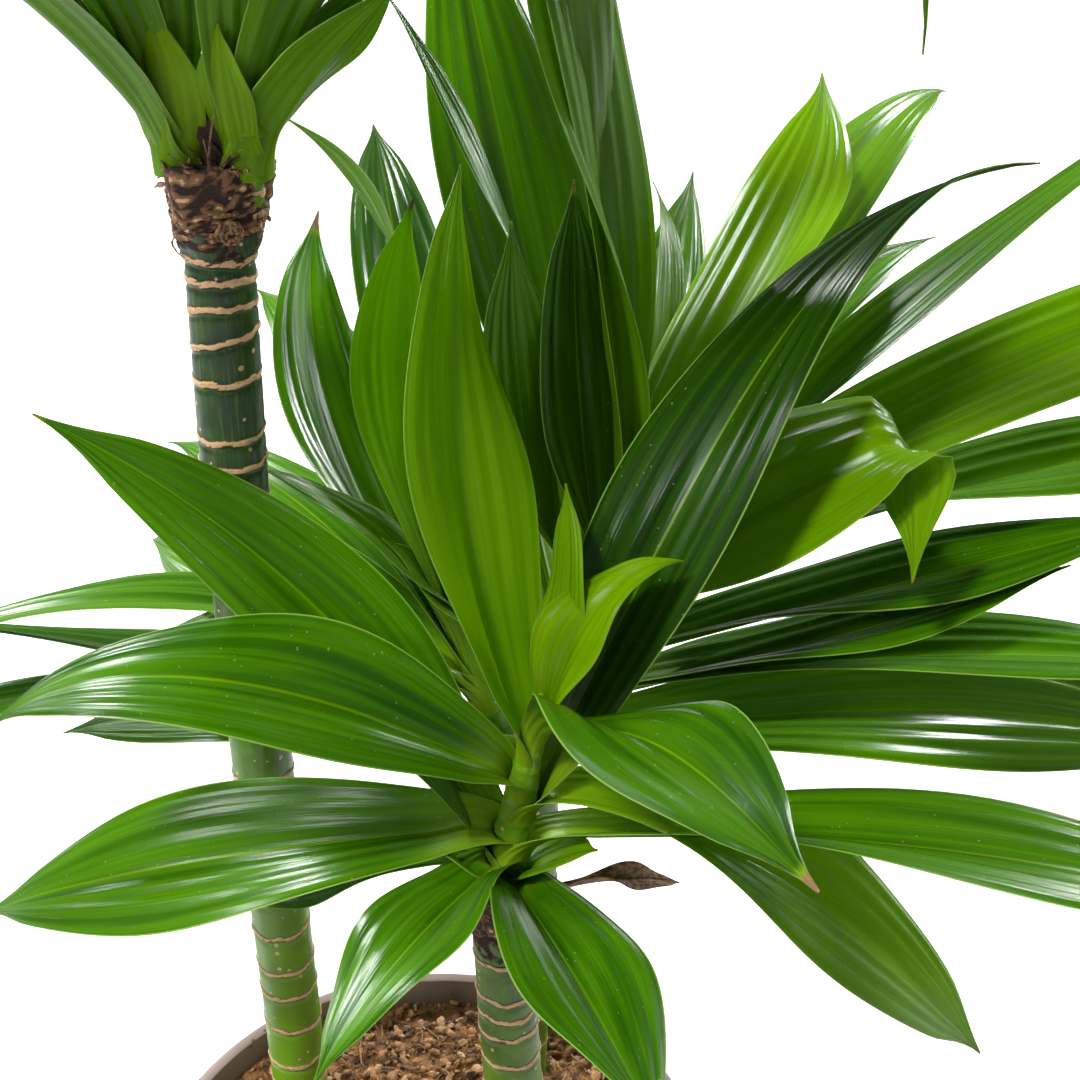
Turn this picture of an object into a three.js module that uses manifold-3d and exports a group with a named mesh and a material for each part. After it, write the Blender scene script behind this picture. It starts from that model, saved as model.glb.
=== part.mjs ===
import * as THREE from 'three';
import { mergeVertices } from 'three/addons/utils/BufferGeometryUtils.js';
import Module from 'manifold-3d';

const wasm = await Module();
wasm.setup();

// A corn plant: three bare canes of stepped height in a round pot of soil, with a leafy shoot or two
// at the top of each. Millimetres, +Z up, the origin in the middle of the pot's foot, +X to the
// right and +Y to the back.

// ---- Driving dimensions ----

const pot = {
  height: 270,
  rimRadius: 150,
  footRadius: 108,
  wall: 4,
  floor: 6,
  lipHeight: 13,
  lipWidth: 8,
  lipStep: 4, // how far the lip stands out over the wall
  holes: 6,
  holeRadius: 6,
  holeCircle: 62,
  sides: 36,
};

const soil = {
  surface: pot.height - 15,
  rings: 4,
  lump: 3.2,
};

const gap = 0.35; // between pieces that rest on each other
const canePlanted = 80; // how deep the canes stand in the soil
const holeRoom = 2; // how much wider than its cane a hole in the soil is, all round
const sidesOfCane = 10;
const shootPlanted = 12; // how deep a shoot's foot sits in its cane
const evenPart = 0.3; // the part of a shoot's stem that doesn't taper
const leafSunk = 3; // how deep a leaf's foot sits in its stem
const sidesOfStem = 10;

// Canes: foot at the soil and top, in place; scars are heights over the rim of the pot.
const canes = {
  tall_cane: {
    foot: [-72, 50],
    top: [-68, 49],
    topHeight: 530,
    radius: [14.8, 13.6],
    bow: 2,
    head: { from: 488, swell: 4.5, widen: 0.12 },
    scars: [
      [12, 1], [28, -2], [44, 1], [70, 3], [94, -1], [112, 2], [136, -2], [158, 1], [182, 2],
      [207, -2], [234, 1], [262, 2], [288, -1], [312, 2], [338, 1], [362, -2], [384, 1], [402, -1],
      [415, 2], [441, -1], [458, 7], [472, -4], [485, 2],
    ],
  },
  middle_cane: {
    foot: [48, 90],
    top: [54, 101],
    topHeight: 212,
    radius: [14.6, 13.8],
    bow: 2,
    head: { from: 190, swell: 4, widen: 0.2 },
    scars: [[10, 2], [32, -1], [52, 2], [76, 1], [98, -2], [124, 1], [148, 2], [168, -1]],
  },
  short_cane: {
    foot: [52, -16],
    top: [41, -16],
    topHeight: 216,
    radius: [14.8, 13.8],
    bow: -1,
    head: { from: 198, swell: 1.5, widen: 0 },
    scars: [
      [14, 1], [36, 2], [58, -1], [78, 2], [94, 1], [116, -2], [134, 1], [145, 2], [157, -1],
      [180, 1],
    ],
  },
};

// Shoots: foot and growing tip, heights over the rim of the pot.
// Each leaf is one row: how far up the shoot it grows (mm), where it heads, how steeply it rises,
// how far it droops and how far it sways by its tip (degrees), its length and width (mm), how far
// it is rolled at its foot and twisted by its tip (degrees), and how late it bends (1 is evenly).
// A leaf with a fold has three more: the part of its length before the fold, and how far it folds
// and turns there.
const shoots = {
  short_shoot: {
    cane: 'short_cane',
    foot: [41, -16, 210],
    tip: [59, -20, 322],
    radius: [10.5, 5],
    leaves: [
      [18, 285, 23, 11, 3, 210, 62, -14, -9, 1.3],
      [26, 174, 0, 51, -2, 135, 49, -6, -6, 1.2],
      [27, 240, 13, 29, -6, 140, 55, 13, 14, 1.3],
      [37, 347, 14, 35, 1, 405, 65, -12, 10, 1.5],
      [44, 184, -3, 44, -9, 285, 70, -28, 7, 1.1],
      [28, 145, 60, 15, 35, 275, 66, 1, -8, 1.5],
      [60, 355, 11, 71, 1, 265, 75, -6, 46, 0.6],
      [61, 32, 59, 64, 0, 365, 67, 40, -92, 3.2],
      [72, 192, 34, 81, 1, 240, 73, -27, 30, 1.8],
      [102, 5, 75, 81, -4, 100, 39, 32, -37, 2.5],
      [91, 152, 66, -7, -42, 250, 79, -6, 17, 1.5],
      [97, 295, 37, 38, -5, 245, 64, -26, 60, 1.9],
      [98, 32, 70, -8, 26, 105, 28, 6, 2, 1.3],
    ],
    sheaths: [],
  },
  middle_left_shoot: {
    cane: 'middle_cane',
    foot: [42, 98, 203],
    tip: [17, 97, 306],
    radius: [9.5, 5],
    leaves: [
      [10, 176, 9, 37, -9, 245, 56, -6, -8, 1.3],
      [15, 180, 17, 36, 1, 355, 59, 23, -5, 1.3],
      [16, 178, 17, 12, -3, 335, 58, 20, 7, 1.3],
      [32, 133, 29, 46, 0, 300, 58, 0, 0, 1.3],
      [40, 169, 30, 63, -1, 190, 45, -2, -9, 1.2],
      [42, 177, 29, 67, 2, 350, 59, 21, -4, 1.4],
      [48, 203, 78, 28, 5, 105, 46, -2, -7, 1.4],
      [49, 159, 50, -6, -59, 280, 66, 12, -43, 1.2],
      [55, 164, 23, 63, -11, 245, 64, -23, -34, 1.1],
      [58, 118, 40, 50, 0, 325, 58, 0, 0, 1.3],
      [62, 195, 68, 36, 2, 155, 50, 6, -13, 1.5],
      [85, 106, 47, 42, -12, 360, 59, 7, -4, 1.2],
      [85, 167, 65, -7, -50, 210, 53, -16, -30, 1.3],
      [89, 119, 66, 57, -43, 315, 26, 10, 102, 1.5],
    ],
    sheaths: [],
  },
  middle_right_shoot: {
    cane: 'middle_cane',
    foot: [66, 106, 203],
    tip: [98, 122, 326],
    radius: [10.5, 5],
    leaves: [
      [6, 359, 10, 61, 2, 400, 73, 23, 24, 1.6],
      [16, 75, 22, 50, 0, 300, 62, 0, 10, 1.3],
      [28, 344, 25, -5, 3, 250, 64, -16, 30, 1.3],
      [34, 346, 20, 30, 1, 420, 57, 6, -31, 1.4],
      [40, 105, 34, 50, 0, 320, 62, 0, -10, 1.3],
      [48, 348, 25, 1, 0, 290, 71, -13, 28, 1.3],
      [83, 312, 44, 38, 8, 258, 86, 50, -2, 1.3, 0.7, 116, -25],
      [63, 49, 47, 53, -1, 345, 56, -1, -2, 1.3],
      [72, 359, 30, 29, 1, 410, 71, -26, 59, 1.3],
      [75, 9, 50, 27, 6, 450, 46, -1, -11, 1.6],
      [76, 0, 40, 37, 1, 445, 75, 9, 24, 1.5],
      [86, 133, 76, 25, -3, 305, 37, 58, -38, 1.9],
      [93, 115, 57, 13, -6, 400, 80, -3, -6, 1.3],
      [99, 207, 81, -6, -6, 205, 62, -62, -25, 1.3],
      [95, 47, 48, 64, 4, 435, 53, 10, 10, 1.6],
      [96, 72, 42, 26, 7, 275, 48, 1, 1, 1.1],
      [107, 154, 87, 10, 9, 370, 76, 72, -143, 1.2],
      [115, 62, 47, 45, 17, 240, 18, 21, 31, 1.2],
      [119, 31, 70, 37, 55, 295, 73, -23, 64, 0.6],
      [120, 154, 88, 12, 5, 400, 80, 11, -23, 1.6],
      [55, 221, 74, -12, -12, 240, 60, -23, -110, 1.3],
    ],
    sheaths: [],
  },
  tall_left_shoot: {
    cane: 'tall_cane',
    foot: [-79, 50, 524],
    tip: [-93, 52, 640],
    radius: [8, 4.5],
    form: 'broad',
    leaves: [
      [16, 212, 60, 75, 0, 310, 58, 0, 5, 1.2],
      [20, 270, 70, 55, 2, 335, 58, 0, -5, 1.3],
      [24, 108, 55, 70, 0, 330, 60, 0, 5, 1.2],
      [29, 174, 59, 70, 1, 335, 61, -1, 1, 1],
      [32, 236, 66, 62, 0, 350, 60, 0, 0, 1.3],
      [40, 150, 72, 60, 0, 355, 62, 0, 0, 1.4],
      [52, 203, 72, 65, 0, 350, 64, 0, 8, 1.3],
      [60, 262, 78, 55, 0, 350, 60, 0, -6, 1.3],
      [72, 128, 76, 55, 0, 345, 56, 0, 6, 1.4],
      [84, 178, 80, 45, 0, 330, 54, 0, -6, 1.4],
      [95, 310, 81, 40, -6, 320, 50, 0, 6, 1.4],
      [104, 230, 84, 25, 0, 260, 38, 0, 0, 1.4],
    ],
    sheaths: [[6, 254, 88, 4, 2, 80, 29, 0, 0, 1], [7, 190, 72, 14, 0, 95, 34, 10, 0, 1.2]],
  },
  tall_right_shoot: {
    cane: 'tall_cane',
    foot: [-57, 47, 524],
    tip: [-44, 44, 640],
    radius: [8, 4.5],
    form: 'broad',
    leaves: [
      [16, 298, 72, 66, 0, 320, 60, 14, 5, 1.2],
      [22, 330, 60, 52, 1, 380, 66, -5, 1, 1.2],
      [26, 62, 55, 75, 0, 330, 60, 0, -5, 1.2],
      [38, 359, 40, 36, 0, 325, 50, 2, 2, 1.2],
      [46, 328, 72, 65, 0, 350, 66, 0, 8, 1.3],
      [54, 84, 66, 60, 0, 350, 58, 0, -8, 1.3],
      [58, 23, 64, 152, 1, 420, 50, 1, -4, 1.2],
      [72, 292, 76, 55, 0, 345, 58, 0, 6, 1.4],
      [84, 8, 77, 50, 0, 340, 54, 0, -6, 1.4],
      [94, 62, 80, 40, 0, 320, 50, 0, 6, 1.4],
      [104, 335, 84, 25, 0, 260, 38, 0, 0, 1.4],
    ],
    sheaths: [[6, 282, 86, 3, 2, 72, 25, 6, -14, 1], [9, 340, 56, 14, 6, 92, 40, -20, 0, 1.2]],
  },
};

// A dried leaf that still hangs from the top of the short cane: its foot and its row, as above.
const driedLeaf = {
  foot: [56.5, -9, 204],
  shape: [0, 24, -4, 48, 0, 92, 22, 0, 60, 1.2],
  form: { rows: 5, footWidth: 0.4, widestAt: 0.5 },
};

const blade = {
  thickness: 0.9,
  midribSteps: 24,
  rows: 6,
  footWidth: 0.4, // width at the foot, as a part of the full width
  widestAt: 0.45,
  channel: 28, // how far each half is folded up at the foot, in degrees
  channelLeft: 5, // and by the tip
  wave: 2.6, // how far the edges wave to either side
  waves: 1.7,
};

const forms = {
  broad: { rows: 6, footWidth: 0.52, widestAt: 0.36 },
  sheath: { rows: 4, footWidth: 0.85, widestAt: 0.42 },
};

// ---- Solids ----

const radians = THREE.MathUtils.degToRad;

function ease(x) {
  return THREE.MathUtils.smoothstep(x, 0, 1);
}

// A closed geometry as a solid that can be joined and cut.
function solidOf(geometry) {
  const bare = geometry.clone();
  bare.deleteAttribute('normal');
  bare.deleteAttribute('uv');
  const merged = mergeVertices(bare, 1e-4);
  const corners = merged.index.array;
  const triangles = [];
  for (let i = 0; i < corners.length; i += 3) {
    const [a, b, c] = [corners[i], corners[i + 1], corners[i + 2]];
    if (a !== b && b !== c && c !== a) {
      triangles.push(a, b, c);
    }
  }
  const mesh = new wasm.Mesh({
    numProp: 3,
    vertProperties: new Float32Array(merged.attributes.position.array),
    triVerts: new Uint32Array(triangles),
  });
  return new wasm.Manifold(mesh);
}

function geometryOf(solid) {
  const mesh = solid.getMesh();
  const geometry = new THREE.BufferGeometry();
  geometry.setAttribute('position', new THREE.BufferAttribute(mesh.vertProperties, 3));
  geometry.setIndex(new THREE.BufferAttribute(mesh.triVerts, 1));
  geometry.computeVertexNormals();
  return geometry;
}

// A profile of [radius, height] pairs from the bottom up, turned round the Z axis.
function turned(profile, sides) {
  const points = profile.map(([radius, height]) => new THREE.Vector2(radius, height));
  return new THREE.LatheGeometry(points, sides).rotateX(Math.PI / 2);
}

// Moves each vertex of a geometry to where the function puts it.
function reshape(geometry, move) {
  const places = geometry.attributes.position;
  const place = new THREE.Vector3();
  for (let i = 0; i < places.count; i++) {
    place.fromBufferAttribute(places, i);
    move(place);
    places.setXYZ(i, place.x, place.y, place.z);
  }
  return geometry;
}

// ---- Pot and soil ----

// The radius of the pot's outside at a height.
function potRadius(height) {
  const underLip = pot.rimRadius - pot.lipStep;
  const share = height / (pot.height - pot.lipHeight);
  return THREE.MathUtils.lerp(pot.footRadius, underLip, Math.min(share, 1));
}

function potGeometry() {
  const { height, rimRadius, footRadius, wall, floor, lipHeight, lipWidth } = pot;
  const underLip = height - lipHeight;
  const innerLip = rimRadius - lipWidth;
  const profile = [
    [0, 0],
    [footRadius - 4, 0],
    [potRadius(4), 4],
    [potRadius(underLip), underLip],
    [rimRadius, underLip + 3],
    [rimRadius, height - 3],
    [rimRadius - 3, height],
    [innerLip, height],
    [potRadius(underLip) - wall, underLip - 2],
    [potRadius(floor) - wall, floor],
    [0, floor],
  ];
  let body = solidOf(turned(profile, pot.sides));
  for (let i = 0; i < pot.holes; i++) {
    const angle = ((i + 0.5) / pot.holes) * 2 * Math.PI;
    const hole = new THREE.CylinderGeometry(pot.holeRadius, pot.holeRadius, 4 * floor, 10);
    hole.rotateX(Math.PI / 2);
    hole.translate(pot.holeCircle * Math.cos(angle), pot.holeCircle * Math.sin(angle), 0);
    body = body.subtract(solidOf(hole));
  }
  return geometryOf(body);
}

// How far the soil stands over its mean height at a place.
function lumpAt(x, y) {
  const broad = Math.sin(x / 21 + 1.3) * Math.cos(y / 17 - 0.4);
  const small = Math.sin(x / 7.3 - y / 9.1) * Math.cos(y / 6.7 + x / 15);
  return soil.lump * (0.6 * broad + 0.5 * small);
}

function soilGeometry() {
  const bottom = pot.floor + gap;
  const wallRadius = (height) => potRadius(height) - pot.wall - gap;
  const edge = wallRadius(soil.surface) - 1;
  const profile = [[0, bottom], [wallRadius(bottom) - 1, bottom], [edge, soil.surface - 3]];
  for (let ring = soil.rings; ring > 0; ring--) {
    profile.push([(edge - 3) * (ring / soil.rings), soil.surface]);
  }
  profile.push([0, soil.surface]);
  const filled = reshape(turned(profile, pot.sides), (place) => {
    if (place.z > soil.surface - 1) {
      place.z += lumpAt(place.x, place.y);
    }
  });
  let body = solidOf(filled);
  for (const cane of Object.values(canes)) {
    const radius = cane.radius[0] + holeRoom;
    const hole = new THREE.CylinderGeometry(radius, radius, 2 * canePlanted + 2 * gap, sidesOfCane);
    hole.rotateX(Math.PI / 2);
    hole.translate(cane.foot[0], cane.foot[1], soil.surface);
    body = body.subtract(solidOf(hole));
  }
  return geometryOf(body);
}

// ---- Canes ----

// A cane's profile: a smooth stem with a low ridge at each ring scar and a swollen head.
function caneProfile(cane) {
  const bottom = soil.surface - canePlanted;
  const top = pot.height + cane.topHeight;
  const radiusAt = (height) => {
    const share = (height - bottom) / (top - bottom);
    const over = (height - pot.height - cane.head.from) / (cane.topHeight - cane.head.from);
    return THREE.MathUtils.lerp(...cane.radius, share) + cane.head.swell * ease(over);
  };
  const profile = [[0, bottom], [radiusAt(bottom), bottom]];
  for (const [scar] of cane.scars) {
    const height = pot.height + scar;
    profile.push([radiusAt(height) - 0.5, height - 2.4]);
    profile.push([radiusAt(height) + 0.9, height]);
  }
  for (const rest of [0.4, 0.9]) {
    const height = THREE.MathUtils.lerp(pot.height + cane.head.from + 3, top, rest);
    profile.push([radiusAt(height) - (rest > 0.8 ? 1.5 : 0), height]);
  }
  profile.push([radiusAt(top) - 8, top]);
  profile.push([0, top - 2]);
  return profile;
}

// How far the ring scar at a height is slanted, and 0 between the scars.
function slantAt(cane, height) {
  let slant = 0;
  for (const [scar, rise] of cane.scars) {
    if (Math.abs(height - pot.height - scar) < 3) {
      slant = rise;
    }
  }
  return slant;
}

function caneGeometry(cane) {
  const length = cane.topHeight + pot.height - soil.surface;
  return reshape(turned(caneProfile(cane), sidesOfCane), (place) => {
    const share = Math.max((place.z - soil.surface) / length, 0);
    const angle = Math.atan2(place.y, place.x);
    const radius = Math.hypot(place.x, place.y);
    const isHead = ease((place.z - pot.height - cane.head.from) / 10);
    const knob = 1 + isHead * (0.06 * Math.sin(3 * angle + 1) + 0.05 * Math.sin(5 * angle + place.z / 9));
    const wide = 1 + cane.head.widen * isHead;
    place.z += slantAt(cane, place.z) * Math.cos(angle + place.z) * (radius / cane.radius[1]) * 0.5;
    place.x = place.x * knob * wide;
    place.y = place.y * knob;
    place.x += THREE.MathUtils.lerp(cane.foot[0], cane.top[0], share);
    place.y += THREE.MathUtils.lerp(cane.foot[1], cane.top[1], share);
    place.x += cane.bow * Math.sin(Math.PI * share);
  });
}

// ---- Leaves ----

// Follows a leaf's midrib from its foot, with the way it runs, its left side and its upper face.
function midrib(foot, [, heading, rise, droop, sway, length, , roll, twist, lateness, ...folded]) {
  const [turn, climb] = [radians(heading), radians(rise)];
  const along = new THREE.Vector3(
    Math.cos(climb) * Math.cos(turn),
    Math.cos(climb) * Math.sin(turn),
    Math.sin(climb),
  );
  const side = new THREE.Vector3(-Math.sin(turn), Math.cos(turn), 0);
  const upper = new THREE.Vector3().crossVectors(along, side);
  side.applyAxisAngle(along, radians(roll));
  upper.applyAxisAngle(along, radians(roll));
  const place = foot.clone();
  const [foldAt, fold, foldTurn] = folded;
  const stations = [];
  for (let step = 0; step <= blade.midribSteps; step++) {
    stations.push({ place: place.clone(), side: side.clone(), upper: upper.clone() });
    const [before, after] = [step / blade.midribSteps, (step + 1) / blade.midribSteps];
    let bend = radians(droop) * (after ** lateness - before ** lateness);
    if (fold) {
      bend += radians(fold) * (ease((after - foldAt) / 0.15) - ease((before - foldAt) / 0.15));
    }
    along.applyAxisAngle(side, bend);
    upper.applyAxisAngle(side, bend);
    along.applyAxisAngle(upper, radians(sway) / blade.midribSteps);
    side.applyAxisAngle(upper, radians(sway) / blade.midribSteps);
    let turned = radians(twist) * (after ** 1.5 - before ** 1.5);
    if (fold) {
      const [start, end] = [(before - foldAt + 0.06) / 0.15, (after - foldAt + 0.06) / 0.15];
      turned += radians(foldTurn) * (ease(end) - ease(start));
    }
    side.applyAxisAngle(along, turned);
    upper.applyAxisAngle(along, turned);
    place.addScaledVector(along, length / blade.midribSteps);
  }
  return stations;
}

// A leaf's width along its length, as a part of its full width.
function widthAt(t, { footWidth, widestAt }) {
  const spread = Math.sin((Math.PI / 2) * Math.min(t / widestAt, 1)) ** 1.3;
  const taper = 1 - Math.max((t - widestAt) / (1 - widestAt), 0) ** 1.9;
  return (footWidth + (1 - footWidth) * spread) * taper ** 1.15;
}

// A blade of even thickness, folded along its midrib, with waved edges. It has three points across
// each face, the left edge, the midrib and the right edge, and both faces are split alike.
function bladeGeometry(foot, leaf, number, form) {
  const stations = midrib(foot, leaf);
  const width = leaf[6];
  const vertices = [];
  for (let row = 0; row <= form.rows; row++) {
    const t = row / form.rows;
    const { place, side, upper } = stations[Math.round(t * blade.midribSteps)];
    const half = Math.max((width / 2) * widthAt(t, form), 0.8);
    const channel = radians(blade.channelLeft + blade.channel * (1 - ease(t / 0.75)));
    for (const across of [1, 0, -1]) {
      const wave = Math.sin(2 * Math.PI * (blade.waves * t + 0.37 * number + 0.3 * across));
      const lift = half * Math.sin(channel) + blade.wave * wave * Math.sin(Math.PI * t);
      for (const face of [1, -1]) {
        const point = place.clone();
        point.addScaledVector(side, across * half * Math.cos(channel));
        point.addScaledVector(upper, Math.abs(across) * lift + (face * blade.thickness) / 2);
        vertices.push(point.x, point.y, point.z);
      }
    }
  }
  // Corners of a row: 0 and 1 left edge, 2 and 3 midrib, 4 and 5 right edge, upper face first.
  const corner = (row, n) => row * 6 + n;
  const triangles = [];
  const quad = (a, b, c, d) => triangles.push(a, b, c, a, c, d);
  for (let row = 0; row < form.rows; row++) {
    const [near, far] = [(n) => corner(row, n), (n) => corner(row + 1, n)];
    quad(near(2), far(2), far(0), near(0));
    quad(near(2), near(4), far(4), far(2));
    quad(near(3), near(1), far(1), far(3));
    quad(near(3), far(3), far(5), near(5));
    quad(near(0), far(0), far(1), near(1));
    quad(near(4), near(5), far(5), far(4));
  }
  for (const [row, flip] of [[0, false], [form.rows, true]]) {
    for (const [a, b, c, d] of [[0, 1, 3, 2], [2, 3, 5, 4]]) {
      const ring = flip ? [d, c, b, a] : [a, b, c, d];
      quad(...ring.map((n) => corner(row, n)));
    }
  }
  const geometry = new THREE.BufferGeometry();
  geometry.setAttribute('position', new THREE.Float32BufferAttribute(vertices, 3));
  geometry.setIndex(triangles);
  return geometry;
}

// ---- Shoots ----

function shootEnds(shoot) {
  const ends = [shoot.foot, shoot.tip].map((end) => new THREE.Vector3(...end));
  ends.forEach((end) => (end.z += pot.height));
  return ends;
}

// The radius of a shoot's stem at a part of its height: even at first, then tapering to the tip.
function stemRadius(shoot, share) {
  const [wide, slim] = shoot.radius;
  return THREE.MathUtils.lerp(wide, slim, Math.max((share - evenPart) / (1 - evenPart), 0));
}

// A shoot's stem, from its foot in the cane to its growing tip, thicker all over by a margin.
function stemGeometry(shoot, margin) {
  const [foot, tip] = shootEnds(shoot);
  const [wide, slim] = shoot.radius.map((radius) => radius + margin);
  const length = foot.distanceTo(tip);
  const profile = [
    [0, -shootPlanted - margin],
    [wide - 4, -shootPlanted - margin],
    [wide, 0],
    [wide, length * evenPart],
    [slim, length],
    [0, length + slim],
  ];
  const upright = new THREE.Vector3(0, 0, 1);
  const lean = new THREE.Quaternion().setFromUnitVectors(upright, tip.clone().sub(foot).normalize());
  return turned(profile, sidesOfStem).applyQuaternion(lean).translate(foot.x, foot.y, foot.z);
}

function shootGeometry(shoot) {
  const [foot, tip] = shootEnds(shoot);
  const rise = tip.clone().sub(foot);
  let body = solidOf(stemGeometry(shoot, 0));
  const add = (leaf, number, form) => {
    const [up, heading] = leaf;
    const place = foot.clone().addScaledVector(rise, up / rise.z);
    const reach = stemRadius(shoot, up / rise.z) - leafSunk;
    place.x += reach * Math.cos(radians(heading));
    place.y += reach * Math.sin(radians(heading));
    body = body.add(solidOf(bladeGeometry(place, leaf, number, form)));
  };
  const form = shoot.form ? forms[shoot.form] : blade;
  shoot.leaves.forEach((leaf, number) => add(leaf, number, form));
  shoot.sheaths.forEach((leaf, number) => add(leaf, number, forms.sheath));
  return geometryOf(outermost(body));
}

// The largest body of a solid, without the hollows that its leaves close in between them.
function outermost(solid) {
  return solid.decompose().reduce((most, body) => (body.volume() > most.volume() ? body : most));
}

function driedLeafGeometry() {
  const foot = new THREE.Vector3(...driedLeaf.foot);
  foot.z += pot.height;
  return bladeGeometry(foot, driedLeaf.shape, 0, driedLeaf.form);
}

// ---- The plant ----

const finishes = {
  pot: new THREE.MeshStandardMaterial({ color: 0x9a857f, roughness: 0.5, metalness: 0 }),
  soil: new THREE.MeshStandardMaterial({ color: 0x6b4329, roughness: 1, metalness: 0 }),
  cane: new THREE.MeshStandardMaterial({ color: 0x3f6a25, roughness: 0.45, metalness: 0 }),
  leaf: new THREE.MeshStandardMaterial({ color: 0x2c7412, roughness: 0.3, metalness: 0 }),
  driedLeaf: new THREE.MeshStandardMaterial({ color: 0x6d4a30, roughness: 0.9, metalness: 0 }),
};

const plant = new THREE.Group();

function addPiece(name, geometry, finish) {
  const mesh = new THREE.Mesh(geometry, finish.clone());
  mesh.name = name;
  plant.add(mesh);
}

addPiece('pot', potGeometry(), finishes.pot);
addPiece('soil', soilGeometry(), finishes.soil);
for (const [name, cane] of Object.entries(canes)) {
  let body = solidOf(caneGeometry(cane));
  for (const shoot of Object.values(shoots)) {
    if (shoot.cane === name) {
      body = body.subtract(solidOf(stemGeometry(shoot, gap)));
    }
  }
  addPiece(name, geometryOf(body), finishes.cane);
}
for (const [name, shoot] of Object.entries(shoots)) {
  addPiece(name, shootGeometry(shoot), finishes.leaf);
}
addPiece('dried_leaf', driedLeafGeometry(), finishes.driedLeaf);

export default plant;
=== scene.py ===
import math
import random

import bpy
import numpy as np
from mathutils import Matrix, Vector, noise


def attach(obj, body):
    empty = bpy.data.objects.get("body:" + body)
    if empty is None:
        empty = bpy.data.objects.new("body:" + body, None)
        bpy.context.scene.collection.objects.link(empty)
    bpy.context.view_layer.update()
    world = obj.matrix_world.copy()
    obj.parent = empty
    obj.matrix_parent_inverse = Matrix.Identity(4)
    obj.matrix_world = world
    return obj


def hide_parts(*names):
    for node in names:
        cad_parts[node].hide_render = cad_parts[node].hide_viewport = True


# Looks of a potted corn plant. Pieces are given in millimetres, as in the solids, and the camera, the
# lamps and the depths and scales of materials in metres.
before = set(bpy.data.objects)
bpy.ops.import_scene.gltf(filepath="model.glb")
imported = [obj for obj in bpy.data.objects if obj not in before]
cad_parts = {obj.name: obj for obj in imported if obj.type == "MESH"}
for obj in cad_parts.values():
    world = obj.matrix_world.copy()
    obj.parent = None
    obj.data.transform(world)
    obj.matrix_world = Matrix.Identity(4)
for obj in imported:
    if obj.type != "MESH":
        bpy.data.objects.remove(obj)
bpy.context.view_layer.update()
mm = 0.001
rimHeight = 270  # of the pot; heights of canes, shoots and loose bark are counted from it


# ---- small helpers ----

def deselectAll():
    bpy.ops.object.select_all(action="DESELECT")


def makeActive(piece):
    deselectAll()
    piece.select_set(True)
    bpy.context.view_layer.objects.active = piece


def getPoints(piece):
    flat = np.zeros(len(piece.data.vertices) * 3)
    piece.data.vertices.foreach_get("co", flat)
    return flat.reshape(-1, 3)


def setPoints(piece, points):
    piece.data.vertices.foreach_set("co", np.ascontiguousarray(points).ravel())
    piece.data.update()


def addModifier(piece, kind, **values):
    makeActive(piece)
    modifier = piece.modifiers.new(kind.title(), kind)
    for name, value in values.items():
        setattr(modifier, name, value)
    bpy.ops.object.modifier_apply(modifier=modifier.name)


def closeUp(piece):
    makeActive(piece)
    bpy.ops.object.mode_set(mode="EDIT")
    bpy.ops.mesh.select_all(action="SELECT")
    bpy.ops.mesh.remove_doubles(threshold=1e-6)
    bpy.ops.mesh.normals_make_consistent(inside=False)
    bpy.ops.object.mode_set(mode="OBJECT")
    bpy.ops.object.shade_smooth()


def joinPieces(pieces, name):
    deselectAll()
    for piece in pieces:
        piece.select_set(True)
    bpy.context.view_layer.objects.active = pieces[0]
    if len(pieces) > 1:
        bpy.ops.object.join()
    whole = bpy.context.active_object
    whole.name = name
    whole.data.name = name
    return whole


def copyOf(template, name):
    piece = template.copy()
    piece.data = template.data.copy()
    piece.name = name
    bpy.context.scene.collection.objects.link(piece)
    return piece


def gridSheet(name, columns, rows):
    deselectAll()
    bpy.ops.mesh.primitive_grid_add(x_subdivisions=columns, y_subdivisions=rows, size=1)
    sheet = bpy.context.active_object
    sheet.name = name
    return sheet


# Writes four values a point that the materials read as the attribute "marks".
def setMarks(piece, values):
    layer = piece.data.attributes.new("marks", "FLOAT_COLOR", "POINT")
    layer.data.foreach_set("color", np.ascontiguousarray(values, dtype=np.float32).ravel())


# A grid rolled into a closed tube: at each turn and share of its length, shape gives the points in
# millimetres, and their marks or None.
def rolledTube(name, columns, rows, shape):
    tube = gridSheet(name, columns, rows)
    flat = getPoints(tube)
    points, marks = shape((flat[:, 0] + 0.5) * 2 * math.pi, flat[:, 1] + 0.5)
    setPoints(tube, points * mm)
    if marks is not None:
        setMarks(tube, marks)
    closeUp(tube)
    return tube


# The row of a rolled tube at each share of its length.
def rowAt(share, rows):
    return np.clip(np.rint(share * rows).astype(int), 0, rows)


# Points round an upright axis.
def aroundAt(turn, radius, height):
    level = np.broadcast_to(height, turn.shape)
    return np.column_stack((radius * np.cos(turn), radius * np.sin(turn), level))


# A level way of length 1.
def wayAt(degrees):
    return np.array((math.cos(math.radians(degrees)), math.sin(math.radians(degrees)), 0))


def ease(x):
    x = np.clip(x, 0, 1)
    return x * x * (3 - 2 * x)


# Smooth noise from -1 to 1 at each point.
def grain(points, scale, seed=0.0):
    shift = Vector((seed * 7.31, seed * 3.17, seed * 5.93))
    scale = np.broadcast_to(np.array(scale, float), (3,))
    return np.array([noise.noise(Vector(p) + shift) for p in points * scale])


# Gives a piece one material alone.
def dress(piece, material):
    piece.data.materials.clear()
    piece.data.materials.append(material)
    piece.data.polygons.foreach_set("material_index", np.zeros(len(piece.data.polygons), np.int32))


def finishPiece(piece, slot, *nodes):
    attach(piece, "root")
    if nodes:
        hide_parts(*nodes)


# ---- camera, light and floor ----

view = {"place": (0.059, -0.576, 0.991), "pitch": 60, "lens": 54.4}

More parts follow.
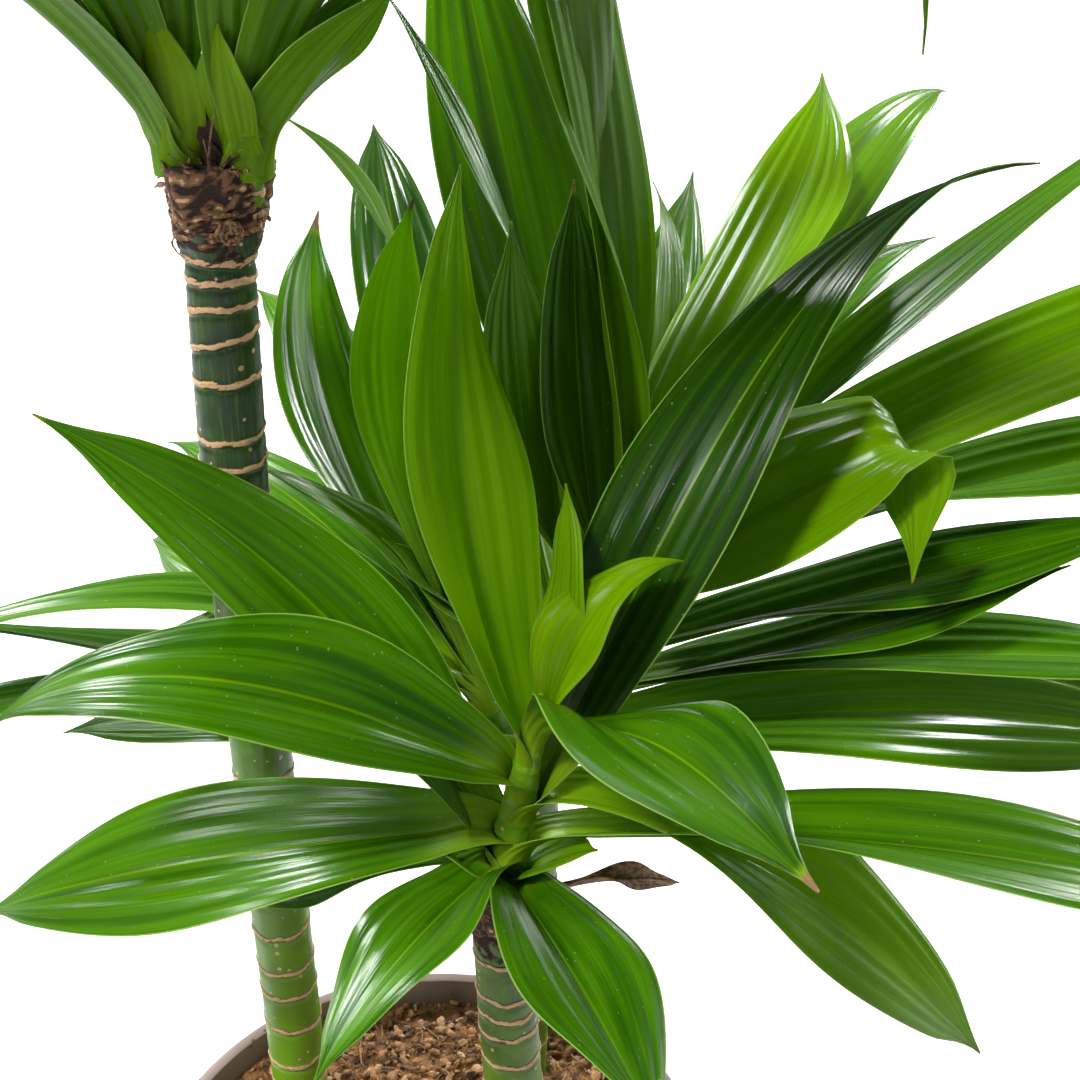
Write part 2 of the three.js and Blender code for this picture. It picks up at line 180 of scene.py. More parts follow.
camera = bpy.data.cameras.new("camera")
camera.sensor_width = 36
camera.lens = view["lens"]
camera.clip_start = 0.02
viewer = bpy.data.objects.new("camera", camera)
viewer.location = view["place"]
viewer.rotation_euler = (math.radians(view["pitch"]), 0, 0)
bpy.context.scene.collection.objects.link(viewer)
bpy.context.scene.camera = viewer

studio = {
    "sky": 0.17,
    "sun": {"aim": (0.45, 0.5, -1), "strength": 2.7, "softness": 8},
    "lamps": [  # place, aim, width, watts, whether leaves mirror it
        ((0.3, 2.2, 1.6), (0.1, 0.1, 0.7), 1.5, 50, False),
        ((-1.7, 1.8, 1.1), (-0.2, -0.1, 0.6), 0.35, 8, True),
        ((1.7, 1.7, 1.1), (0.3, 0.1, 0.65), 0.35, 12, True),
        ((-1.3, 1.7, 2.0), (-0.1, 0, 0.6), 0.45, 52, True),
        ((1.5, 1.8, 1.8), (0.2, 0.1, 0.6), 0.45, 46, True),
        ((-1.6, -1.9, 2.3), (0, 0, 0.7), 0.4, 22, True),
        ((-2.1, -0.2, 2.1), (-0.15, -0.2, 0.6), 0.4, 24, True),
    ],
}

world = bpy.data.worlds.new("studio")
world.use_nodes = True
world.node_tree.nodes["Background"].inputs["Color"].default_value = (1, 1, 1, 1)
world.node_tree.nodes["Background"].inputs["Strength"].default_value = studio["sky"]
bpy.context.scene.world = world
bpy.context.scene.view_settings.view_transform = "Standard"


def addLamp(kind, place, direction, **values):
    lamp = bpy.data.lights.new("lamp", kind)
    for name, value in values.items():
        setattr(lamp, name, value)
    holder = bpy.data.objects.new("lamp", lamp)
    holder.location = place
    holder.rotation_euler = Vector(direction).to_track_quat("-Z", "Y").to_euler()
    bpy.context.scene.collection.objects.link(holder)
    return holder


sun = studio["sun"]
softness = math.radians(sun["softness"])
sunLamp = addLamp("SUN", (-1, -1, 2.5), sun["aim"], energy=sun["strength"], angle=softness)
sunLamp.visible_glossy = False
for place, aim, width, watts, isMirrored in studio["lamps"]:
    lamp = addLamp("AREA", place, Vector(aim) - Vector(place), size=width, energy=watts)
    lamp.visible_glossy = isMirrored

deselectAll()
bpy.ops.mesh.primitive_plane_add(size=14, location=(0, 0, 0))
floor = bpy.context.active_object
floor.name = "floor"
print("camera, light and floor done")


# ---- materials ----

def linear(red, green, blue):
    def one(value):
        value /= 255
        return value / 12.92 if value <= 0.04045 else ((value + 0.055) / 1.055) ** 2.4
    return (one(red), one(green), one(blue), 1)


# Sets a node's sockets to values, or links them where a value is another node's socket.
def feed(tree, node, sockets):
    for name, value in sockets.items():
        if isinstance(value, bpy.types.NodeSocket):
            tree.links.new(value, node.inputs[name])
        else:
            node.inputs[name].default_value = value


def addNode(tree, kind, sockets=None, **settings):
    node = tree.nodes.new(kind)
    for name, value in settings.items():
        setattr(node, name, value)
    feed(tree, node, sockets or {})
    return node


def calc(tree, operation, first, second=0.0, third=0.0):
    sockets = {0: first, 1: second, 2: third}
    return addNode(tree, "ShaderNodeMath", sockets, operation=operation).outputs[0]


def between(tree, value, low, high, lowTo=0.0, highTo=1.0):
    sockets = {"Value": value, "From Min": low, "From Max": high, "To Min": lowTo, "To Max": highTo}
    node = addNode(tree, "ShaderNodeMapRange", sockets, interpolation_type="SMOOTHSTEP")
    return node.outputs["Result"]


def blendColour(tree, share, first, second):
    return addNode(tree, "ShaderNodeMix", {0: share, 6: first, 7: second}, data_type="RGBA").outputs[2]


# A colour that turns into another, at most so far, while a value goes from low to high.
def wash(tree, colour, other, value, low, high, most=1.0):
    return blendColour(tree, between(tree, value, low, high, 0.0, most), colour, other)


def noiseAt(tree, place, scale, detail=3.0, roughness=0.55, stretch=(1, 1, 1), shift=(0, 0, 0)):
    mapping = addNode(tree, "ShaderNodeMapping", {"Vector": place, "Scale": stretch, "Location": shift})
    sockets = {"Vector": mapping.outputs[0], "Scale": scale, "Detail": detail, "Roughness": roughness}
    return addNode(tree, "ShaderNodeTexNoise", sockets).outputs["Fac"]


def newMaterial(name):
    material = bpy.data.materials.new(name)
    material.use_nodes = True
    tree = material.node_tree
    return material, tree, tree.nodes["Principled BSDF"]


def bumpInto(tree, shader, height, depth, strength=1.0):
    bump = addNode(tree, "ShaderNodeBump", {"Height": height, "Distance": depth, "Strength": strength})
    feed(tree, shader, {"Normal": bump.outputs[0]})


def objectPlace(tree):
    return addNode(tree, "ShaderNodeTexCoord").outputs["Object"]


def marksOf(tree):
    marks = addNode(tree, "ShaderNodeAttribute", attribute_name="marks")
    split = addNode(tree, "ShaderNodeSeparateColor", {0: marks.outputs["Color"]}).outputs
    return [split[0], split[1], split[2], marks.outputs["Alpha"]]


# Small pale specks and dust, shared by leaves, canes and pot.
def speckGroup():
    tree = bpy.data.node_groups.new("specks", "ShaderNodeTree")
    sockets = (
        ("Place", "INPUT", "Vector"), ("Scale", "INPUT", "Float"), ("Size", "INPUT", "Float"),
        ("Mask", "OUTPUT", "Float"),
    )
    for name, way, kind in sockets:
        tree.interface.new_socket(name, in_out=way, socket_type=f"NodeSocket{kind}")
    start = addNode(tree, "NodeGroupInput")
    end = addNode(tree, "NodeGroupOutput")
    cells = addNode(tree, "ShaderNodeTexVoronoi", {"Vector": start.outputs[0], "Scale": start.outputs[1]})
    pick = addNode(tree, "ShaderNodeSeparateColor", {0: cells.outputs["Color"]}).outputs[0]
    size = calc(tree, "MULTIPLY", start.outputs[2], between(tree, pick, 0.62, 1.0))
    spot = calc(tree, "LESS_THAN", cells.outputs["Distance"], size)
    tree.links.new(spot, end.inputs[0])
    return tree


specks = speckGroup()


def specksAt(tree, place, scale, size):
    return addNode(tree, "ShaderNodeGroup", {0: place, 1: scale, 2: size}, node_tree=specks).outputs[0]


leafFinish = {
    "top": {"deep": linear(34, 86, 0), "lit": linear(82, 140, 0), "gloss": 0.2, "shine": 0.42},
    "under": {"deep": linear(54, 104, 6), "lit": linear(104, 152, 24), "gloss": 0.34, "shine": 0.2},
    "shade": linear(3, 26, 2),
    "young": linear(154, 198, 0),
    "root": linear(150, 186, 30),
    "margin": linear(150, 186, 84),
    "dry": linear(178, 142, 98),
    "dryDark": linear(96, 62, 38),
    "dust": linear(176, 190, 140),
    "dustScale": 330.0,
    "dustSize": 0.15,
    "pleats": 8.0,
    "wander": 1.6,
    "ribWidth": 0.035,
    "marginFrom": 0.972,
    "relief": 0.0003,
    "glow": 0.22,
    "youngGlow": 0.55,
}


# Colour, height and gloss run in streaks along the leaf: u goes across it and v along it.
# Its marks: above 0 for a young, pale leaf, partly a painted glow where the leaf is backlit, and below
# 0 for a leaf darkened with painted shade, how far the tip has withered, a chance number that shifts
# the streaks, and how pale the foot is.
def leafMaterial(name, face):
    deep, lit, gloss = face["deep"], face["lit"], face["gloss"]
    material, tree, shader = newMaterial(name)
    uv = addNode(tree, "ShaderNodeUVMap").outputs[0]
    split = addNode(tree, "ShaderNodeSeparateXYZ", {0: uv}).outputs
    young, dried, chance, rooted = marksOf(tree)
    across = calc(tree, "ABSOLUTE", calc(tree, "MULTIPLY_ADD", split[0], 2.0, -1.0))
    shifted = addNode(tree, "ShaderNodeCombineXYZ", {0: split[0], 1: split[1], 2: chance}).outputs[0]
    broad = noiseAt(tree, shifted, 1.0, 3.0, stretch=(6, 1.8, 30))
    veins = noiseAt(tree, shifted, 1.0, 2.0, stretch=(70, 1.2, 30))
    fine = noiseAt(tree, shifted, 1.0, 2.0, stretch=(210, 3.5, 30))
    wander = noiseAt(tree, shifted, 1.0, 1.0, stretch=(2.5, 1.4, 30), shift=(5, 2, 1))
    shift = calc(tree, "MULTIPLY", wander, leafFinish["wander"])
    phase = calc(tree, "MULTIPLY_ADD", across, leafFinish["pleats"] / 2, shift)
    pleat = calc(tree, "SINE", calc(tree, "MULTIPLY", phase, 2 * math.pi))
    pleat = calc(tree, "MULTIPLY_ADD", pleat, 0.5, 0.5)
    colour = wash(tree, deep, lit, broad, 0.32, 0.72)
    # Paler on the pleat crests and darker in their valleys: painted highlight and painted shade along the
    # pleats.
    colour = wash(tree, colour, lit, pleat, 0.35, 1.0, 0.4)
    colour = wash(tree, colour, deep, veins, 0.5, 0.28, 0.55)
    colour = wash(tree, colour, lit, veins, 0.6, 0.78, 0.35)
    # Pale young tone, which on backlit leaves also stands for a painted glow of light shining through them.
    youngAndGlowTone = wash(tree, leafFinish["young"], lit, broad, 0.3, 0.7, 0.45)
    youngAndGlowTone = wash(tree, youngAndGlowTone, lit, veins, 0.5, 0.3, 0.3)
    colour = blendColour(tree, calc(tree, "MAXIMUM", young, 0.0), colour, youngAndGlowTone)
    # Below 0 the leaf turns to painted shade, with painted highlights on its pleat crests, where it lies in
    # shade.
    paintedShadeShare = calc(tree, "MAXIMUM", calc(tree, "MULTIPLY", young, -1.0), 0.0)
    shaded = wash(tree, leafFinish["shade"], deep, pleat, 0.3, 1.0, 0.3)
    colour = blendColour(tree, paintedShadeShare, colour, shaded)
    root = between(tree, calc(tree, "MULTIPLY_ADD", wander, 0.05, split[1]), 0.02, 0.17, 0.8, 0.0)
    colour = blendColour(tree, calc(tree, "MULTIPLY", root, rooted), colour, leafFinish["root"])
    rib = between(tree, across, 0.01, leafFinish["ribWidth"], 0.32, 0.0)
    colour = blendColour(tree, rib, colour, leafFinish["young"])
    colour = wash(tree, colour, lit, fine, 0.4, 0.75, 0.2)
    colour = wash(tree, colour, leafFinish["margin"], across, leafFinish["marginFrom"], 0.99, 0.75)
    ragged = calc(tree, "MULTIPLY", calc(tree, "SUBTRACT", veins, 0.5), 0.05)
    tip = calc(tree, "MULTIPLY_ADD", dried, 0.1, calc(tree, "ADD", split[1], ragged))
    faded = between(tree, tip, 0.985, 1.0)
    tip = between(tree, tip, 1.0, 1.006)
    dust = specksAt(tree, objectPlace(tree), leafFinish["dustScale"], leafFinish["dustSize"])
    colour = blendColour(tree, calc(tree, "MULTIPLY", dust, 0.4), colour, leafFinish["dust"])
    colour = blendColour(tree, calc(tree, "MULTIPLY", faded, 0.6), colour, leafFinish["young"])
    husk = wash(tree, leafFinish["dryDark"], leafFinish["dry"], fine, 0.35, 0.6)
    colour = blendColour(tree, tip, colour, husk)
    rough = between(tree, broad, 0.2, 0.8, gloss - 0.03, gloss + 0.08)
    rough = calc(tree, "MULTIPLY_ADD", tip, 0.4, rough)
    feed(tree, shader, {"Base Color": colour, "Roughness": rough, "Specular IOR Level": face["shine"]})
    height = calc(tree, "MULTIPLY_ADD", veins, 0.8, pleat)
    height = calc(tree, "MULTIPLY_ADD", fine, 0.12, height)
    bumpInto(tree, shader, height, leafFinish["relief"], 0.8)
    glowColour = blendColour(tree, 0.55, colour, leafFinish["young"])
    glow = addNode(tree, "ShaderNodeBsdfTranslucent", {"Color": glowColour})
    share = between(tree, young, 0.0, 1.0, leafFinish["glow"], leafFinish["youngGlow"])
    mixed = addNode(tree, "ShaderNodeMixShader", {0: share, 1: shader.outputs[0], 2: glow.outputs[0]})
    feed(tree, tree.nodes["Material Output"], {0: mixed.outputs[0]})
    return material


caneFinish = {
    "deep": linear(14, 46, 12),
    "bright": linear(102, 146, 22),
    "scar": linear(222, 180, 138),
    "scarShade": linear(104, 66, 44),
    "bark": linear(128, 90, 60),
    "barkCreaseShade": linear(46, 30, 22),
    "gloss": 0.36,
    "dull": 0.85,
    "fleckScale": 190.0,
    "fleckSize": 0.24,
    "relief": 0.0011,
}


# A cane's marks: ring scar, which also sets the painted shade round the scar lips and the painted
# shade and highlight of the bark folds, how far old bark covers it, and how pale its green is.
def caneMaterial():
    material, tree, shader = newMaterial("caneBark")
    place = objectPlace(tree)
    scar, bark, light = marksOf(tree)[:3]
    streaks = noiseAt(tree, place, 900.0, 3.0, stretch=(1, 1, 0.05))
    clouds = noiseAt(tree, place, 70.0, 3.0)
    ragged = noiseAt(tree, place, 420.0, 4.0, 0.65, stretch=(1, 1, 1.6))
    green = calc(tree, "MULTIPLY_ADD", calc(tree, "SUBTRACT", clouds, 0.5), 0.7, light)
    colour = wash(tree, caneFinish["deep"], caneFinish["bright"], green, 0.05, 0.95)
    colour = wash(tree, colour, caneFinish["bright"], streaks, 0.45, 0.8, 0.3)
    flecks = specksAt(tree, place, caneFinish["fleckScale"], caneFinish["fleckSize"])
    colour = blendColour(tree, calc(tree, "MULTIPLY", flecks, 0.75), colour, caneFinish["scar"])
    # Ring scars: tan lips with dark cracks, dark between and round the lips: painted shade in the cracks
    # and grooves.
    tan = wash(tree, caneFinish["scarShade"], caneFinish["scar"], ragged, 0.28, 0.42)
    edge = calc(tree, "MULTIPLY_ADD", calc(tree, "SUBTRACT", ragged, 0.5), 0.75, scar)
    colour = wash(tree, colour, caneFinish["scarShade"], edge, 0.2, 0.3)
    colour = wash(tree, colour, tan, edge, 0.42, 0.52)
    creased = noiseAt(tree, place, 260.0, 5.0, 0.7, stretch=(1, 1, 2.6))
    fold = calc(tree, "MULTIPLY_ADD", calc(tree, "SUBTRACT", creased, 0.5), 0.9, scar)
    # Bark follows its folds: painted shade in the creases and a painted highlight of the scar tan on the
    # ridges.
    husk = wash(tree, caneFinish["barkCreaseShade"], caneFinish["bark"], fold, 0.22, 0.56)
    husk = wash(tree, husk, caneFinish["scar"], fold, 0.72, 0.98)
    cover = between(tree, bark, 0.4, 0.6)
    colour = blendColour(tree, cover, colour, husk)
    dull = calc(tree, "MAXIMUM", cover, between(tree, scar, 0.2, 0.5))
    gloss = between(tree, dull, 0.0, 1.0, caneFinish["gloss"], caneFinish["dull"])
    feed(tree, shader, {"Base Color": colour, "Roughness": gloss})
    rough = calc(tree, "MULTIPLY", calc(tree, "ADD", ragged, creased), calc(tree, "ADD", dull, 0.12))
    bumpInto(tree, shader, calc(tree, "MULTIPLY_ADD", streaks, 0.1, rough), caneFinish["relief"], 0.7)
    return material


potFinish = {
    "base": linear(116, 99, 93),
    "worn": linear(136, 118, 110),
    "dirt": linear(84, 60, 44),
    "dirtFrom": 0.235,
    "gloss": 0.42,
}


def potMaterial():
    material, tree, shader = newMaterial("taupePot")
    place = objectPlace(tree)
    clouds = noiseAt(tree, place, 9.0, 4.0)
    fine = noiseAt(tree, place, 700.0, 2.0)
    colour = wash(tree, potFinish["base"], potFinish["worn"], clouds, 0.35, 0.7, 0.35)
    splashed = specksAt(tree, place, 160.0, 0.22)
    height = addNode(tree, "ShaderNodeSeparateXYZ", {0: place}).outputs[2]
    high = between(tree, height, potFinish["dirtFrom"], 0.268)
    colour = blendColour(tree, calc(tree, "MULTIPLY", splashed, high), colour, potFinish["dirt"])
    gloss = between(tree, clouds, 0.2, 0.8, potFinish["gloss"] - 0.06, potFinish["gloss"] + 0.1)
    feed(tree, shader, {"Base Color": colour, "Roughness": gloss})
    bumpInto(tree, shader, fine, 0.00008, 0.6)
    return material


soilFinish = {
    "dark": linear(58, 36, 22),
    "brown": linear(190, 134, 80),
    "pale": linear(216, 174, 132),
}


def soilMaterial():
    material, tree, shader = newMaterial("peatAndCoir")
    place = objectPlace(tree)
    marks = marksOf(tree)
    clumps = noiseAt(tree, place, 150.0, 5.0, 0.7)
    fine = noiseAt(tree, place, 620.0, 4.0, 0.7)
    colour = wash(tree, soilFinish["dark"], soilFinish["brown"], clumps, 0.36, 0.6)
    colour = blendColour(tree, marks[0], colour, soilFinish["pale"])
    colour = blendColour(tree, between(tree, fine, 0.38, 0.6, 0.4, 0.0), colour, soilFinish["dark"])
    colour = blendColour(tree, marks[1], colour, soilFinish["dark"])
    feed(tree, shader, {"Base Color": colour, "Roughness": 0.93})
    bumpInto(tree, shader, calc(tree, "ADD", clumps, fine), 0.0016, 0.9)
    return material


# Bright to the camera alone, so that the floor is a white backdrop without lighting the leaves.
floorFinish = {"tone": (0.6, 0.6, 0.6, 1), "paler": (0.63, 0.63, 0.63, 1), "backdrop": 0.9}


def floorMaterial():
    material, tree, shader = newMaterial("paleFloor")
    place = objectPlace(tree)
    soft = noiseAt(tree, place, 3.0, 2.0)
    colour = wash(tree, floorFinish["tone"], floorFinish["paler"], soft, 0.3, 0.7)
    seen = addNode(tree, "ShaderNodeLightPath").outputs["Is Camera Ray"]
    glow = calc(tree, "MULTIPLY", seen, floorFinish["backdrop"])
    feed(tree, shader, {"Base Color": colour, "Roughness": 0.8})
    feed(tree, shader, {"Emission Color": (1, 1, 1, 1), "Emission Strength": glow})
    return material


finishes = {
    "leafTop": leafMaterial("leafTop", leafFinish["top"]),
    "leafUnder": leafMaterial("leafUnder", leafFinish["under"]),
    "cane": caneMaterial(),
    "pot": potMaterial(),
    "soil": soilMaterial(),
    "floor": floorMaterial(),
}
dress(floor, finishes["floor"])
print("materials done")


# ---- pot ----

pot = {
    "height": rimHeight, "rimRadius": 150, "footRadius": 108, "wall": 4, "base": 6,
    "lip": 13, "lipWidth": 8, "lipStep": 4, "holes": 6, "holeRadius": 6, "holeCircle": 62, "sides": 144,
}


def potRadius(height):
    share = min(height / (pot["height"] - pot["lip"]), 1)
    return pot["footRadius"] + (pot["rimRadius"] - pot["lipStep"] - pot["footRadius"]) * share


# The pot's section from the middle of its foot, up the outside, over the lip and down the inside.
def potSection():
    top, rim = pot["height"], pot["rimRadius"]
    under = top - pot["lip"]
    section = [(0.0, 0.0), (pot["footRadius"] - 4, 0)]
    section += [(potRadius(4) - 4 + 4 * math.sin(a), 4 - 4 * math.cos(a)) for a in (0.5, 1.0, 1.4)]
    section += [(potRadius(h), h) for h in np.linspace(6, under - 1, 10)]
    section += [(potRadius(under) + 0.4, under), (rim - 1.6, under + 0.8), (rim - 0.4, under + 1.8)]
    section += [(rim, under + 3.4), (rim, under + 7)]
    corner = np.linspace(0, math.pi / 2, 6)
    section += [(rim - 3 + 3 * math.cos(a), top - 3 + 3 * math.sin(a)) for a in corner]
    inner = rim - pot["lipWidth"]
    section += [(inner + 1.6, top), (inner + 0.5, top - 0.4), (inner, top - 1.6)]
    section += [(potRadius(under) - pot["wall"], under - 2)]
    section += [(potRadius(h) - pot["wall"], h) for h in np.linspace(under - 12, pot["base"] + 3, 8)]
    section += [(potRadius(6) - pot["wall"] - 3, pot["base"]), (0.0, pot["base"])]
    return section


def makePot():
    section = np.array(potSection())
    rows = len(section) - 1

    def shape(turn, share):
        index = rowAt(share, rows)
        return aroundAt(turn, section[index, 0], section[index, 1]), None

    shell = rolledTube("potShell", pot["sides"], rows, shape)
    holes = []
    for number in range(pot["holes"]):
        turn = (number + 0.5) / pot["holes"] * 2 * math.pi
        place = (pot["holeCircle"] * math.cos(turn) * mm, pot["holeCircle"] * math.sin(turn) * mm, 0)
        deselectAll()
        radius = pot["holeRadius"] * mm
        bpy.ops.mesh.primitive_cylinder_add(vertices=24, radius=radius, depth=0.03, location=place)
        holes.append(bpy.context.active_object)
    cutter = joinPieces(holes, "drill")
    addModifier(shell, "BOOLEAN", operation="DIFFERENCE", object=cutter, solver="EXACT")
    bpy.data.objects.remove(cutter)
    dress(shell, finishes["pot"])
    makeActive(shell)
    bpy.ops.object.shade_smooth_by_angle(angle=math.radians(40))
    finishPiece(shell, "pot", "pot")


makePot()
print("pot done")


# ---- soil ----

soil = {
    "surface": 255, "lump": 3.2, "relief": 1.6, "sides": 150, "rings": 76,
    "settled": 2, "bedDark": 0.45, "chunks": 5200, "chunkSize": (0.8, 3.4), "fibres": 420,
    "fibreLength": (4, 13), "seed": 11, "clear": 15.5,
}
# Where the canes stand, from the pot's middle.
caneFeet = {"tallCane": (-72, 50), "middleCane": (48, 90), "shortCane": (52, -16)}


# How far the soil rises and falls at points: broad lumps, then rough ones.
def soilLump(x, y):
    broad = np.sin(x / 21 + 1.3) * np.cos(y / 17 - 0.4)
    small = np.sin(x / 7.3 - y / 9.1) * np.cos(y / 6.7 + x / 15)
    return soil["lump"] * (0.6 * broad + 0.5 * small)


def soilRough(points):
    coarse, fine = grain(points, (0.16, 0.16, 0), 1), grain(points, (0.42, 0.42, 0), 2)
    return soil["relief"] * coarse + soil["relief"] * 0.7 * fine


def makeSoilBed():
    bottom = pot["base"] + 0.4
    edge = potRadius(soil["surface"]) - pot["wall"] - 0.4
    side = [(0.0, bottom), (potRadius(bottom) - pot["wall"] - 3, bottom)]
    side += [(edge - 12, soil["surface"] - 60), (edge - 0.4, soil["surface"] - 8)]
    top = soil["rings"]
    rows = top + len(side)
    radii = np.array([r for r, h in side] + [edge * (1 - k / top) for k in range(top + 1)])
    heights = np.array([h for r, h in side] + [soil["surface"]] * (top + 1), float)

    def shape(turn, share):
        index = rowAt(share, rows)
        points = aroundAt(turn, radii[index], heights[index])
        up = index >= len(side)
        flat = points[up]
        fade = 1 - 0.6 * ease((np.hypot(flat[:, 0], flat[:, 1]) - edge + 10) / 10)
        points[up, 2] += (soilLump(flat[:, 0], flat[:, 1]) + soilRough(flat)) * fade - soil["settled"]
        return points, np.tile((0, soil["bedDark"], 0, 0), (len(turn), 1))

    bed = rolledTube("soilBed", soil["sides"], rows, shape)
    dress(bed, finishes["soil"])
    finishPiece(bed, "soil", "soil")


# A few lumps of peat, each a rough ball of few faces, and a few bent fibres of coir.
def crumbTemplates():
    flattened = [(1, 0.8, 0.6), (1.2, 0.7, 0.55), (0.9, 0.9, 0.7), (1.4, 0.6, 0.5), (1, 1, 0.45)]
    bends = (0.5, -0.9, 1.4, -0.3)
    chunks = []
    for number, flat in enumerate(flattened):
        deselectAll()
        bpy.ops.mesh.primitive_ico_sphere_add(subdivisions=2 if number < 2 else 1, radius=1)
        chunk = bpy.context.active_object
        chunk.name = f"chunk{number}"
        points = getPoints(chunk)
        points *= (1 + 0.4 * grain(points, 1.3, number + 1) + 0.4 * grain(points, 2.9, number + 9))[:, None]
        setPoints(chunk, points * flat)
        chunks.append(chunk)
    fibres = []
    for number, bend in enumerate(bends):

        def shape(turn, share):
            x = (share - 0.5) * 2
            radius = 0.045 * np.sqrt(np.clip(1 - x ** 4, 0, 1))
            points = aroundAt(turn, radius, x)[:, (2, 0, 1)]
            points[:, 1] += bend * 0.25 * x * x + 0.06 * np.sin(4 * x + number)
            points[:, 2] += 0.05 * np.sin(3 * x + 2 * number)
            return points / mm, None

        fibres.append(rolledTube(f"fibre{number}", 4, 8, shape))
    return chunks, fibres


def soilHeight(x, y):
    rough = soilRough(np.array([(x, y, 0.0)]))
    return soil["surface"] - soil["settled"] + float((soilLump(x, y) + rough)[0])


def makeCrumbs():
    draw = random.Random(soil["seed"])
    chunks, fibres = crumbTemplates()
    edge = potRadius(soil["surface"]) - pot["wall"]
    smallest, spread = soil["chunkSize"]
    crumbs = []
    for number in range(soil["chunks"] + soil["fibres"]):
        isFibre = number >= soil["chunks"]
        size = draw.uniform(*soil["fibreLength"]) if isFibre else smallest + spread * draw.random() ** 3.4
        while True:
            reach = (edge - size - 1) * math.sqrt(draw.random())
            turn = draw.uniform(0, 2 * math.pi)
            x, y = reach * math.cos(turn), reach * math.sin(turn)
            clear = soil["clear"] + 0.6 * size
            if all(math.hypot(x - foot[0], y - foot[1]) > clear for foot in caneFeet.values()):
                break
        kinds = fibres if isFibre else chunks[:2] if size > 2.4 else chunks[2:]
        crumb = copyOf(draw.choice(kinds), f"crumb{number}")
        tilt = 0.3 if isFibre else 3.1
        spin = Matrix.Identity(4)
        for least, most, axis in ((0, 6.28, "Z"), (-tilt, tilt, "X"), (-0.3, 0.3, "Y")):
            spin = spin @ Matrix.Rotation(draw.uniform(least, most), 4, axis)
        height = soilHeight(x, y) + (1.2 if isFibre else size * draw.uniform(0.1, 0.5))
        place = Matrix.Translation(Vector((x, y, height)) * mm)
        crumb.data.transform(place @ spin @ Matrix.Scale(size * mm, 4))
        pale = draw.random() ** 1.6 * 0.9 if isFibre or size > 2.2 else draw.random() ** 2.4 * 0.8
        marks = (pale, draw.uniform(0, 0.35) * (1 - pale), draw.random(), 1)
        setMarks(crumb, np.tile(marks, (len(crumb.data.vertices), 1)))
        crumbs.append(crumb)
    for template in chunks + fibres:
        bpy.data.objects.remove(template)
    whole = joinPieces(crumbs, "soilCrumbs")
    dress(whole, finishes["soil"])
    makeActive(whole)
    bpy.ops.object.shade_smooth_by_angle(angle=math.radians(50))
    finishPiece(whole, "soil")


makeSoilBed()
makeCrumbs()
print("soil done")


# ---- canes ----

# Scars are (height over the rim, how much higher one side of the ring is than the other).
# The head is (where it starts, how far it swells, how much wider it is than deep), the bark is
# (where it starts, over what height it fades in), light is how pale the cane is below and above,
# and bow is how far its middle stands out to the right.
canes = {
    "tallCane": {
        "node": "tall_cane", "top": (-68, 49), "topHeight": 530, "radius": (14.8, 14.2),
        "bow": -4.6, "head": (490, 4.2, 0.15), "light": (0.95, 0.12), "bark": (497, 7),
        "scars": [
            (12, 1), (28, -2), (44, 1), (70, 3), (94, -1), (112, 2), (136, -2), (158, 1), (182, 2),
            (207, -2), (234, 1), (262, 2), (288, -1), (312, 2), (338, 1), (362, -2), (384, 1), (402, -1),
            (415, 2), (441, -1), (458, 7), (472, -4), (484, 2), (493, -2),
        ],
    },
    "middleCane": {
        "node": "middle_cane", "top": (54, 101), "topHeight": 212, "radius": (14.6, 13.8),
        "bow": 2, "head": (190, 4, 0.2), "light": (0.7, 0.4), "bark": (192, 10),
        "scars": [(10, 2), (32, -1), (52, 2), (76, 1), (98, -2), (124, 1), (148, 2), (168, -1)],
    },
    "shortCane": {
        "node": "short_cane", "top": (41, -16), "topHeight": 216, "radius": (14.8, 13.8),
        "bow": -1, "head": (198, 1.5, 0), "light": (0.75, 0.45), "bark": (186, 22),
        "scars": [
            (14, 1), (36, 2), (58, -1), (78, 2), (94, 1), (116, -2), (134, 1), (145, 2), (157, -1),
            (180, 1),
        ],
    },
}
caneDetail = {
    "planted": 80, "columns": 76, "step": 0.9, "capHeight": 2.2,
    "cap": (0.96, 0.86, 0.72, 0.52, 0.3, 0.12, 0),  # how wide the rounded top's rings are
    "scarReach": 14, "ridge": 0.9, "ridgeWidth": 0.56, "lips": 0.72, "groove": 0.6, "grooveShadeLevel": 0.28,
    "folds": 4.4, "foldDepth": 1.5, "bowSkew": 1.35, "rough": 0.22, "capRough": 1.4,
}


# One ring scar: two raised lips with a groove below, at the points near it. Gives relief, and a
# colour that is tan on the lips and dark between and round them as painted shade.
def scarAt(turn, over, level, slant, number, seed):
    around = aroundAt(turn, 2.2, number * 3.7)
    wave = 1.5 * grain(around, 1, seed) + 0.5 * grain(around, 3.1, seed + 4)
    away = over - (level + slant * 0.5 * np.cos(turn - seed * 2 - number * 2.4) + wave)
    power = 0.75 + 0.5 * grain(around, 1.4, seed + 8)
    width = caneDetail["ridgeWidth"] * (1 + 0.5 * grain(around, 2.0, seed + 6))
    apart = caneDetail["lips"] * (1 + 0.5 * grain(around, 1.7, seed + 12))
    upperLip = np.exp(-((away - apart) / width) ** 2)
    lowerLip = np.exp(-((away + apart) / width) ** 2) * (0.7 + 0.6 * grain(around, 1.1, seed + 14))
    under = np.exp(-((away + apart + 2.2) / 1.1) ** 2)
    relief = caneDetail["ridge"] * (upperLip + lowerLip) * power - caneDetail["groove"] * under
    grooveShadeLevel = np.exp(-(away / (apart + width)) ** 6) * caneDetail["grooveShadeLevel"]
    lips = np.maximum(upperLip, lowerLip) ** 0.6
    return relief, np.clip(grooveShadeLevel + lips * power, 0, 1)
